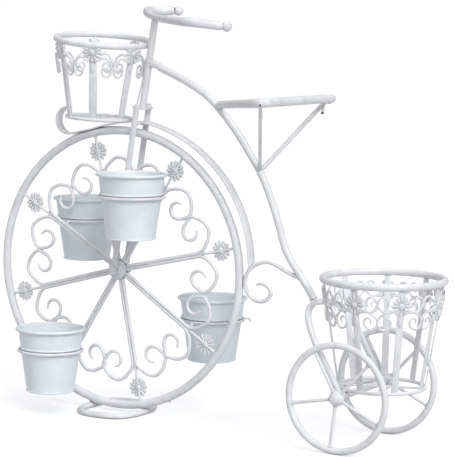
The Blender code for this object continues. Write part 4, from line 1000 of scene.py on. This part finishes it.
class PLANTER_OT_seat(bpy.types.Operator):
    """Build the open seat frame, its two struts and its bolts"""

    bl_idname = "planter.seat"
    bl_label = "Seat"

    def execute(self, context):
        sizes = context.scene.planter_frame
        nose = on_main_tube(SEAT_NOSE_DEG) + Vector((0, 0, 0.0032))
        rear = nose + Vector((sizes.seat_length, sizes.seat_half_width, sizes.seat_rise))
        front = nose + Vector((0.0066, 0.0048, 0))
        line = bent_line([front, rear, *mirrored_y([front, rear])], sizes.seat_corner, 12)
        done = runs(line)
        # The tube is thinned by up to 12 % over the last 20 mm to the nose, where its two ends are welded
        shares = [1.0 - 0.12 * max(0.0, 1.0 - min(here, done[-1] - here) / 0.02) for here in done]
        finish_piece(
            "seat_frame_tube",
            ["seat_frame"],
            rod(line, sizes.seat, 24, shares, round_share=0.25),
            (weld_spot(0.016, 0.016, 0.0085), Matrix.Translation(nose + Vector((0.005, 0, 0.002)))),
        )

        # Each strut lies in an upright plane, from the main tube to the bend at a rear corner of the seat
        foot = on_main_tube(STRUT_FOOT_DEG)
        near_way = Vector((0, -1, 0))
        side_way = (front - rear).normalized()
        inward = (side_way + near_way).normalized()
        past = sizes.seat_corner * (1 / math.sin(side_way.angle(near_way) / 2) - 1)
        bend = rear + inward * past - Vector((0.0045, 0, 0))
        for name, side in SIDES.items():
            head = Vector((bend.x - foot.x, side * bend.y, bend.z - foot.z))
            plane = Matrix.Rotation(math.atan2(head.y, head.x), 4, "Z")
            end = Vector((math.hypot(head.x, head.y), 0, head.z))
            way = end.normalized()
            at_foot = Matrix.Translation(foot) @ plane
            pad = at_foot @ Matrix.Translation(way * (sizes.main_tube + 0.008)) @ bar_along(way)
            weld = Matrix.Translation(at_foot @ (way * (sizes.main_tube + 0.001)))
            tab = [end + way_at(angle) * (sizes.seat + 0.0013) for angle in range(-125, 30, 9)]
            # A stalk runs on from the strut to the bolt's tip, which is seen below the seat
            low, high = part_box(f"seat_bolt_{name}")
            tip = Vector(((low.x + high.x) / 2, (low.y + high.y) / 2, low.z + 0.0048))
            stalk = straight(at_foot @ (way * (end.length - sizes.seat - 0.005)), tip + Vector((0, 0, 0.0015)), 6)
            bar = flat_bar(end.length - sizes.seat - sizes.main_tube, 0.0062, 0.0075)
            finish_piece(
                f"seat_stay_{name}",
                [f"seat_strut_{name}"],
                (bar, at_foot @ Matrix.Translation(end / 2) @ bar_along(way)),
                (ribbon(tab, 0.0064, 0.0020, 0.0004), at_foot),
                (flat_bar(0.015, 0.0092, 0.0036, 0.0009), pad),
                (weld_spot(0.009, 0.0105, 0.0055), weld),
                rod(stalk, 0.0023, 14),
            )

            out = way_at(-20.0)
            stand = turned_to(at_foot @ (end + out * (sizes.seat + 0.0023)), plane @ out)
            domes = [(turned(BOLT_TIP, 24), Matrix.Translation(tip))] if name == "far" else []
            domes.append((turned(BOLT_HEAD, 20), stand))
            finish_piece(
                f"seat_screw_{name}", [f"seat_bolt_{name}"], *domes, slot="bolt", material="blackened_bolt_steel"
            )
        return {"FINISHED"}


class PLANTER_OT_rear_wheels(bpy.types.Operator):
    """Build the two rear wheels"""

    bl_idname = "planter.rear_wheels"
    bl_label = "Rear wheels"

    def execute(self, context):
        sizes = context.scene.planter_wheels
        rim_radius = sizes.rear_radius - sizes.rear_tube
        half, out = sizes.rear_hub_half, sizes.rear_hub
        rows = [(sizes.axle + 0.0005, half), (out * 0.66, half), (out * 0.84, half * 0.60), (out, half * 0.25)]
        start, end = out * 0.8, rim_radius - sizes.rear_tube + 0.0006
        for name, side in SIDES.items():
            body = f"rear_wheel_{name}"
            centre = Vector((AXLE.x, side * sizes.half_track, AXLE.z))
            upright = Matrix.Translation(centre) @ QUARTER_X
            rim = (ring(rim_radius, sizes.rear_tube, 96, 18), upright)
            finish_piece(f"rear_wheel_rim_{name}", [f"rear_rim_{name}"], rim, body=body)
            parts = [(turned(mirrored_profile(rows), 40, 0.0004), upright)]
            for index in range(sizes.rear_spokes):
                way = way_at(math.degrees(sizes.rear_phase) + 360.0 * index / sizes.rear_spokes)
                parts.append(rod(straight(centre + way * start, centre + way * end, 5), sizes.rear_rod, 14))
                for place, bead in ((end - 0.001, 0.0011), (out + 0.0002, 0.0012)):
                    parts.append((weld_bead(sizes.rear_rod + 0.0001, bead, 7), turned_to(centre + way * place, way)))
            finish_piece(f"rear_wheel_spokes_{name}", [f"rear_spokes_{name}"], *parts, body=body)
        return {"FINISHED"}


class PLANTER_OT_rear_hoop(bpy.types.Operator):
    """Build the rear axle, its caps and the hoop that stands on it"""

    bl_idname = "planter.rear_hoop"
    bl_label = "Axle and rear hoop"

    def execute(self, context):
        sizes, frame_sizes = context.scene.planter_wheels, context.scene.planter_frame
        half = sizes.half_track + sizes.rear_hub_half + 0.0005
        ends = (AXLE - Vector((0, half, 0)), AXLE + Vector((0, half, 0)))
        finish_piece("rear_axle_bar", ["rear_axle"], rod(straight(*ends, 16), sizes.axle, 24, round_share=0.12))
        for name, side in SIDES.items():
            seat = turned_to(AXLE + Vector((0, side * (half + 0.0001), 0)), (0, side, 0))
            finish_piece(f"axle_dome_{name}", [f"axle_cap_{name}"], (turned(AXLE_DOME, 32), seat))

        hoop = frame_sizes.hoop
        crown = main_tube_point(*MAIN_TUBE_SHARES[-1])
        end = Vector((AXLE.x, sizes.half_track - sizes.rear_hub_half - 0.0035 - hoop, AXLE.z))
        far = [
            Vector((crown.x + (end.x - crown.x) * along, end.y * spread, crown.z + (end.z - crown.z) * drop))
            for spread, along, drop in HOOP_SHARES
        ]
        near = mirrored_y(far)
        parts = [rod(smooth_line([*near, crown, *far], 0.005), hoop, 20)]
        for arm in (far, near[::-1]):
            rise = (arm[-2] - arm[-1]).normalized()
            parts.append((weld_bead(hoop, 0.0014, 10), turned_to(arm[-1] + rise * (sizes.axle + 0.001), rise)))
        way = (main_tube_point(*MAIN_TUBE_SHARES[-2]) - crown).normalized()
        parts.append((weld_bead(frame_sizes.main_tube, 0.0015, 11), turned_to(crown + way * (hoop + 0.001), way)))
        finish_piece("rear_hoop_tube", ["rear_hoop"], *parts)
        return {"FINISHED"}


def bracket_points():
    """The bracket's line: from the fork bridge, down to the rim, forward, and up in a curl."""
    scene = bpy.context.scene
    wheels, sizes, baskets = scene.planter_wheels, scene.planter_frame, scene.planter_baskets
    front_way = Vector((-math.cos(sizes.lean), 0, math.sin(sizes.lean)))
    start = fork_point(sizes.bridge_place) + front_way * (0.008 + GAP)
    from_hub = start - HUB
    high = from_hub.length
    low = wheels.rim_radius + wheels.rim_tube + GAP + baskets.bracket_thickness / 2
    start_deg = math.degrees(math.atan2(from_hub.z, from_hub.x))
    points = [start, start + front_way * 0.006]
    for share in (0.45, 0.75, 1.0):
        points.append(about_hub(high + (low - high) * share, start_deg + (BRACKET_LEAVES_DEG - start_deg) * share))
    points.append(points[-1] + way_at(BRACKET_LEAVES_DEG + 90.0) * BRACKET_RUN)
    centre = points[-1] + way_at(BRACKET_LEAVES_DEG) * BRACKET_CURL
    first = BRACKET_LEAVES_DEG + 180.0
    for step in range(16):
        points.append(centre + way_at(first + (BRACKET_LAST_DEG - first) * (step + 1) / 16) * BRACKET_CURL)
    return points


def build_basket(end, place, tilt, slats_deg, scrolls):
    """Builds a tapering basket in the place's axes: its top ring, its cage, and its garland with daisies."""
    sizes = bpy.context.scene.planter_baskets
    base, top, tube, height, drop, proud = (
        getattr(sizes, f"{end}_{key}") for key in ("base", "ring", "tube", "height", "drop", "proud")
    )
    level = place @ move(0, 0, height) @ tilt
    flat = Matrix.Rotation(BASKET_JOINT, 4, "Z")
    joint = turned_to(flat @ Vector((top, 0, 0)), flat @ Vector((0, 1, 0)))
    finish_piece(
        f"{end}_basket_top_ring",
        [f"{end}_basket_ring"],
        (ring(top, tube, 112, 18), level),
        (weld_bead(tube * 0.98, 0.0007, 7), level @ joint),
    )

    slope, run = math.atan2(top - base, height), math.hypot(top - base, height)
    length = run - tube * 0.3
    turns = [math.radians(angle) for angle in slats_deg]
    slat = flat_bar(length, sizes.slat_width, sizes.slat_thickness)
    parts = [(ring(base, sizes.floor_tube, 96, 14), place)]
    for turn in turns:
        stand = place @ Matrix.Rotation(turn, 4, "Z") @ move(base, 0, 0) @ Matrix.Rotation(slope, 4, "Y")
        parts.append((slat.copy(), stand @ move(0, 0, length / 2) @ QUARTER_Y @ QUARTER_X))
        for foot in (sizes.floor_tube * 0.7, run - tube - 0.0006):
            parts.append((weld_spot(sizes.slat_width * 0.9, 0.0046, 0.0030), stand @ move(0, 0, foot) @ QUARTER_Z))
    for index, lift in enumerate((-0.0004, 0.0004)):
        turn = turns[0] + math.pi / 8 + math.pi / 2 * index
        way, rise = Vector((math.cos(turn), math.sin(turn), 0)) * base, Vector((0, 0, lift))
        parts.append((rod(straight(rise - way, rise + way, 12), sizes.wire, 12), place))
    finish_piece(f"{end}_basket_slats", [f"{end}_basket_cage"], *parts)

    daisy, wire = sizes.daisy, sizes.wire
    flower_z = height - drop
    bud_z = flower_z - daisy * BUD_DROP
    slat_face = sizes.slat_thickness / 2 / math.cos(slope) + GAP
    flower = daisy_shape(daisy)
    out_way = Matrix.Rotation(math.pi / 2 + slope, 4, "Y")

    def wall(z):
        return base + (top - base) * z / height

    def scroll_beside(shares, turn, side, size, lift):
        """A scroll's line beside a daisy, laid on the basket's wall."""
        points = []
        for across, rise in shares:
            z = flower_z + rise * size
            out = wall(z) + slat_face + lift
            angle = turn + side * across * size / out
            points.append(Vector((out * math.cos(angle), out * math.sin(angle), z)))
        return smooth_line(points, 0.0022)

    parts = []
    for turn in turns:
        gaps = [(other - turn) % math.tau for other in turns if other != turn]
        stand = place @ Matrix.Rotation(turn, 4, "Z")
        parts.append((flower.copy(), stand @ move(wall(flower_z) + proud, 0, flower_z) @ out_way))
        bud = stand @ move(wall(bud_z) + slat_face, 0, bud_z) @ out_way
        parts.append((weld_spot(daisy * 1.25, daisy * 0.46, 0.0044), bud))
        for side, gap in ((1, min(gaps)), (-1, math.tau - max(gaps))):
            room = gap / 2 * (wall(flower_z) + slat_face)
            size = daisy * min(1.0, room / (daisy * SCROLL_REACH))
            # Where there is one row of scrolls, those on one side lie over their neighbours
            lift = wire * (1.0 if side > 0 or len(scrolls) > 1 else 1.7)
            for shares in scrolls:
                line = scroll_beside(shares, turn, side, size, lift)
                parts.append((rod(line, wire, 10, tapered(line, 0.012, 0.6)), place))
    finish_piece(f"{end}_basket_flowers", [f"{end}_basket_garland"], *parts)


class PLANTER_OT_baskets(bpy.types.Operator):
    """Build the two slatted baskets with their garlands, and the bracket under the front one"""

    bl_idname = "planter.baskets"
    bl_label = "Baskets"

    def execute(self, context):
        sizes, wheels = context.scene.planter_baskets, context.scene.planter_wheels
        rear_z = wheels.rear_radius + wheels.axle + GAP + sizes.floor_tube
        place = move(middle("rear_basket_ring").x, 0, rear_z)
        build_basket("rear", place, Matrix.Identity(4), REAR_SLATS_DEG, REAR_SCROLL_SHARES)
        lean = Matrix.Rotation(sizes.front_lean, 4, "Y")
        down = lean @ Vector((0, 0, sizes.front_lift - sizes.front_height))
        place = Matrix.Translation(middle("front_basket_ring") + down) @ lean
        tilt = Matrix.Rotation(sizes.front_dip, 4, "X") @ Matrix.Rotation(-sizes.front_rise, 4, "Y")
        build_basket("front", place, tilt, FRONT_SLATS_DEG, FRONT_SCROLL_SHARES)
        strap = ribbon(bracket_points(), sizes.bracket_width, sizes.bracket_thickness)
        finish_piece("front_basket_strap", ["front_basket_bracket"], strap)
        return {"FINISHED"}


def pot_radius(height):
    """A pot's outer wall at a height above its foot, without rolls and beads."""
    sizes = bpy.context.scene.planter_pots
    return sizes.base_radius + (sizes.top_radius - sizes.base_radius) * height / sizes.height


def half_round(centre, radius, first_deg, last_deg, steps):
    """Points of an arc in a profile, as (radius, height)."""
    ways = [way_at(first_deg + (last_deg - first_deg) * step / steps) for step in range(steps + 1)]
    return [(centre[0] + radius * way.x, centre[1] + radius * way.z) for way in ways]


def pot_shape():
    """One pot, standing on the origin: its turned wall with a rolled rim and two beads, and its seam."""
    sizes = bpy.context.scene.planter_pots
    wall, roll, bead, foot = sizes.wall, sizes.roll, sizes.bead_depth, sizes.base_radius
    bead_z, top_z = sizes.height - sizes.bead_drop, sizes.height - roll
    top = pot_radius(top_z)
    profile = [(0, wall + 0.0012), (foot * 0.86, wall + 0.0012), (foot * 0.93, wall + 0.0002)]
    profile += [(pot_radius(0.004) - wall, 0.004), (top - wall, top_z)]
    profile += half_round((top + roll * 0.5, top_z), roll, 150, -150, 14)
    profile += [(pot_radius(bead_z + bead * 2), bead_z + bead * 2)]
    profile += half_round((pot_radius(bead_z), bead_z + bead), bead, 70, -88, 8)
    profile += [(pot_radius(z), z) for z in (bead_z - 0.001, 0.006)]
    profile += half_round((foot, 0.0022), sizes.foot_depth, 60, -90, 7)
    profile += [(foot * 0.94, 0.0004), (foot * 0.90, 0.0016), (0, 0.0016)]
    seam = [Vector((pot_radius(z) - GAP, 0, z)) for z in (0.005, 0.03, 0.06, bead_z - 0.001)]
    turn = Matrix.Rotation(math.radians(POT_SEAM_DEG), 4, "Z")
    return join([turned(profile, 96), (ribbon_up(seam, 0.0042, 0.0010), turn)])


class PLANTER_OT_pots(bpy.types.Operator):
    """Build the four tin pots and the wire rings that hold them"""

    bl_idname = "planter.pots"
    bl_label = "Pots and their rings"

    def execute(self, context):
        sizes, wheels = context.scene.planter_pots, context.scene.planter_wheels
        radius, wire = wheels.rim_radius, sizes.wire
        bead_z = sizes.height - sizes.bead_drop
        ring_radius = pot_radius(bead_z) + GAP + wire
        drop = wire * math.cos(math.pi / 6) + GAP - bead_z
        pot = pot_shape()
        for name, (spoke, side, ring_x, ring_z, arm_share) in POT_SHARES.items():
            centre = HUB + Vector((ring_x * radius, side * sizes.stand_off, ring_z * radius))
            finish_piece(
                f"tin_pot_{name}",
                [f"pot_{name}"],
                (pot.copy(), Matrix.Translation(centre + Vector((0, 0, drop)))),
                body=f"pot_{name}_body",
                slot="tin",
                material="enamelled_tinplate",
            )
            # The ring's arm runs from its inner side to the face of its spoke
            shift = about_hub(radius * arm_share, math.degrees(spoke_turn(spoke))) - centre
            reach = math.sqrt(ring_radius**2 - shift.x**2)
            start = centre + Vector((shift.x, -side * reach, 0))
            end = centre + Vector((shift.x, -side * (sizes.stand_off - wheels.rod), shift.z))
            bend = end + Vector((0, side * wire, 0))
            arm = smooth_line([start, start.lerp(bend, 0.5), bend, end], 0.003)
            parts = [
                (ring(ring_radius, wire, 112, 14), Matrix.Translation(centre)),
                rod(arm, wire, 14),
                (weld_bead(wire * 1.1, 0.0011, 8), turned_to(end + Vector((0, side * 0.0005, 0)), (0, side, 0))),
            ]
            if name == RING_HOOK_POT:
                hook = [
                    centre + RING_HOOK_WAY * (ring_radius + past) + Vector((0, 0, rise)) for past, rise in RING_HOOK
                ]
                parts.append(rod(smooth_line(hook, 0.0015), wire * 0.75, 12))
            finish_piece(f"pot_hoop_{name}", [f"pot_ring_{name}"], *parts)
        return {"FINISHED"}


class PLANTER_OT_stage(bpy.types.Operator):
    """Set the pale floor, the soft lights, the world and the camera"""

    bl_idname = "planter.stage"
    bl_label = "Stage"

    def execute(self, context):
        scene = context.scene
        colours = scene.planter_colours
        floor = bmesh.new()
        bmesh.ops.create_grid(floor, x_segments=24, y_segments=24, size=7.0)
        mesh = mesh_of(floor, "studio_floor")
        made = bpy.data.objects.new("studio_floor", mesh)
        scene.collection.objects.link(made)
        # Seamless studio paper: matt, and lifted to white wherever it is seen rather than lit by it, so
        # that only the shadows show on it
        paper, tree, shader = new_material("seamless_paper")
        shader.inputs["Base Color"].default_value = colours.floor
        shader.inputs["Roughness"].default_value = 0.9
        shader.inputs["Emission Color"].default_value = (1, 1, 1, 1)
        greater = {"operation": "MAXIMUM"}
        path = add_node(tree, "ShaderNodeLightPath")
        seen = add_node(tree, "ShaderNodeMath", greater, links={0: path["Is Camera Ray"], 1: path["Is Glossy Ray"]})[0]
        seen = add_node(tree, "ShaderNodeMath", greater, links={0: seen, 1: path["Is Transmission Ray"]})[0]
        lift = add_node(tree, "ShaderNodeMath", {"operation": "MULTIPLY"}, {1: 0.60}, {0: seen})[0]
        feed(tree, shader, {"Emission Strength": lift})
        mesh.materials.append(paper)

        # The world is white where it is seen and a soft warm fill where it lights
        world = bpy.data.worlds.new("studio_world")
        scene.world = world
        world.use_nodes = True
        tree = world.node_tree
        tree.nodes.clear()
        path = add_node(tree, "ShaderNodeLightPath")
        links = {0: path["Is Camera Ray"], 1: path["Is Transmission Ray"]}
        seen = add_node(tree, "ShaderNodeMath", greater, links=links)[0]
        backdrop = add_node(tree, "ShaderNodeBackground", values={"Color": (1, 1, 1, 1), "Strength": 1.0})[0]
        fill = add_node(tree, "ShaderNodeBackground", values={"Color": colours.fill, "Strength": 0.36})[0]
        both = add_node(tree, "ShaderNodeMixShader", links={0: seen, 1: fill, 2: backdrop})[0]
        add_node(tree, "ShaderNodeOutputWorld", links={"Surface": both})

        for name, (way, strength, spread_deg, code) in LAMPS.items():
            lamp = bpy.data.lights.new(name, "SUN")
            lamp.energy = strength
            lamp.angle = math.radians(spread_deg)
            lamp.color = linear(code)[:3]
            holder = bpy.data.objects.new(name, lamp)
            holder.matrix_world = turned_to((0, 0, 3), way)
            scene.collection.objects.link(holder)

        azimuth, elevation, roll = (math.radians(angle) for angle in CAMERA_DEG)
        level = Vector((math.cos(azimuth), math.sin(azimuth), 0))
        back = Vector((level.y, -level.x, 0)) * math.cos(elevation) + Vector((0, 0, math.sin(elevation)))
        rise = back.cross(level)
        right = level * math.cos(roll) + rise * math.sin(roll)
        up = rise * math.cos(roll) - level * math.sin(roll)
        lens = bpy.data.cameras.new("photo_camera")
        for key, value in CAMERA_LENS.items():
            setattr(lens, key, value)
        camera = bpy.data.objects.new("photo_camera", lens)
        camera.matrix_world = Matrix.Translation(CAMERA_PLACE) @ Matrix((right, up, back)).transposed().to_4x4()
        scene.collection.objects.link(camera)
        scene.camera = camera
        scene.view_settings.view_transform = "Standard"
        return {"FINISHED"}


class PLANTER_PT_panel(bpy.types.Panel):
    """Lists the planter's pieces and sizes"""

    bl_idname = "PLANTER_PT_panel"
    bl_label = "Bicycle planter"
    bl_space_type = "VIEW_3D"
    bl_region_type = "UI"
    bl_category = "Planter"

    def draw(self, context):
        for operator in OPERATORS:
            self.layout.operator(operator.bl_idname)
        for name, group in GROUPS.items():
            box = self.layout.box()
            for key in group.__annotations__:
                box.prop(getattr(context.scene, name), key)


GROUPS = {
    "planter_wheels": WheelSizes,
    "planter_frame": FrameSizes,
    "planter_baskets": BasketSizes,
    "planter_pots": PotSizes,
    "planter_colours": PlanterColours,
}
OPERATORS = (
    PLANTER_OT_finishes,
    PLANTER_OT_front_wheel,
    PLANTER_OT_scroll_spokes,
    PLANTER_OT_foot_loop,
    PLANTER_OT_fork,
    PLANTER_OT_handlebar,
    PLANTER_OT_main_tube,
    PLANTER_OT_seat,
    PLANTER_OT_rear_wheels,
    PLANTER_OT_rear_hoop,
    PLANTER_OT_baskets,
    PLANTER_OT_pots,
    PLANTER_OT_stage,
)


def register():
    for each in (*GROUPS.values(), *OPERATORS, PLANTER_PT_panel):
        bpy.utils.register_class(each)
    for name, group in GROUPS.items():
        setattr(bpy.types.Scene, name, PointerProperty(type=group))


def unregister():
    for name in GROUPS:
        delattr(bpy.types.Scene, name)
    for each in (PLANTER_PT_panel, *reversed(OPERATORS), *reversed(GROUPS.values())):
        bpy.utils.unregister_class(each)


def main():
    register()
    for operator in OPERATORS:
        group, name = operator.bl_idname.split(".")
        getattr(getattr(bpy.ops, group), name)()


if __name__ == "__main__":
    main()
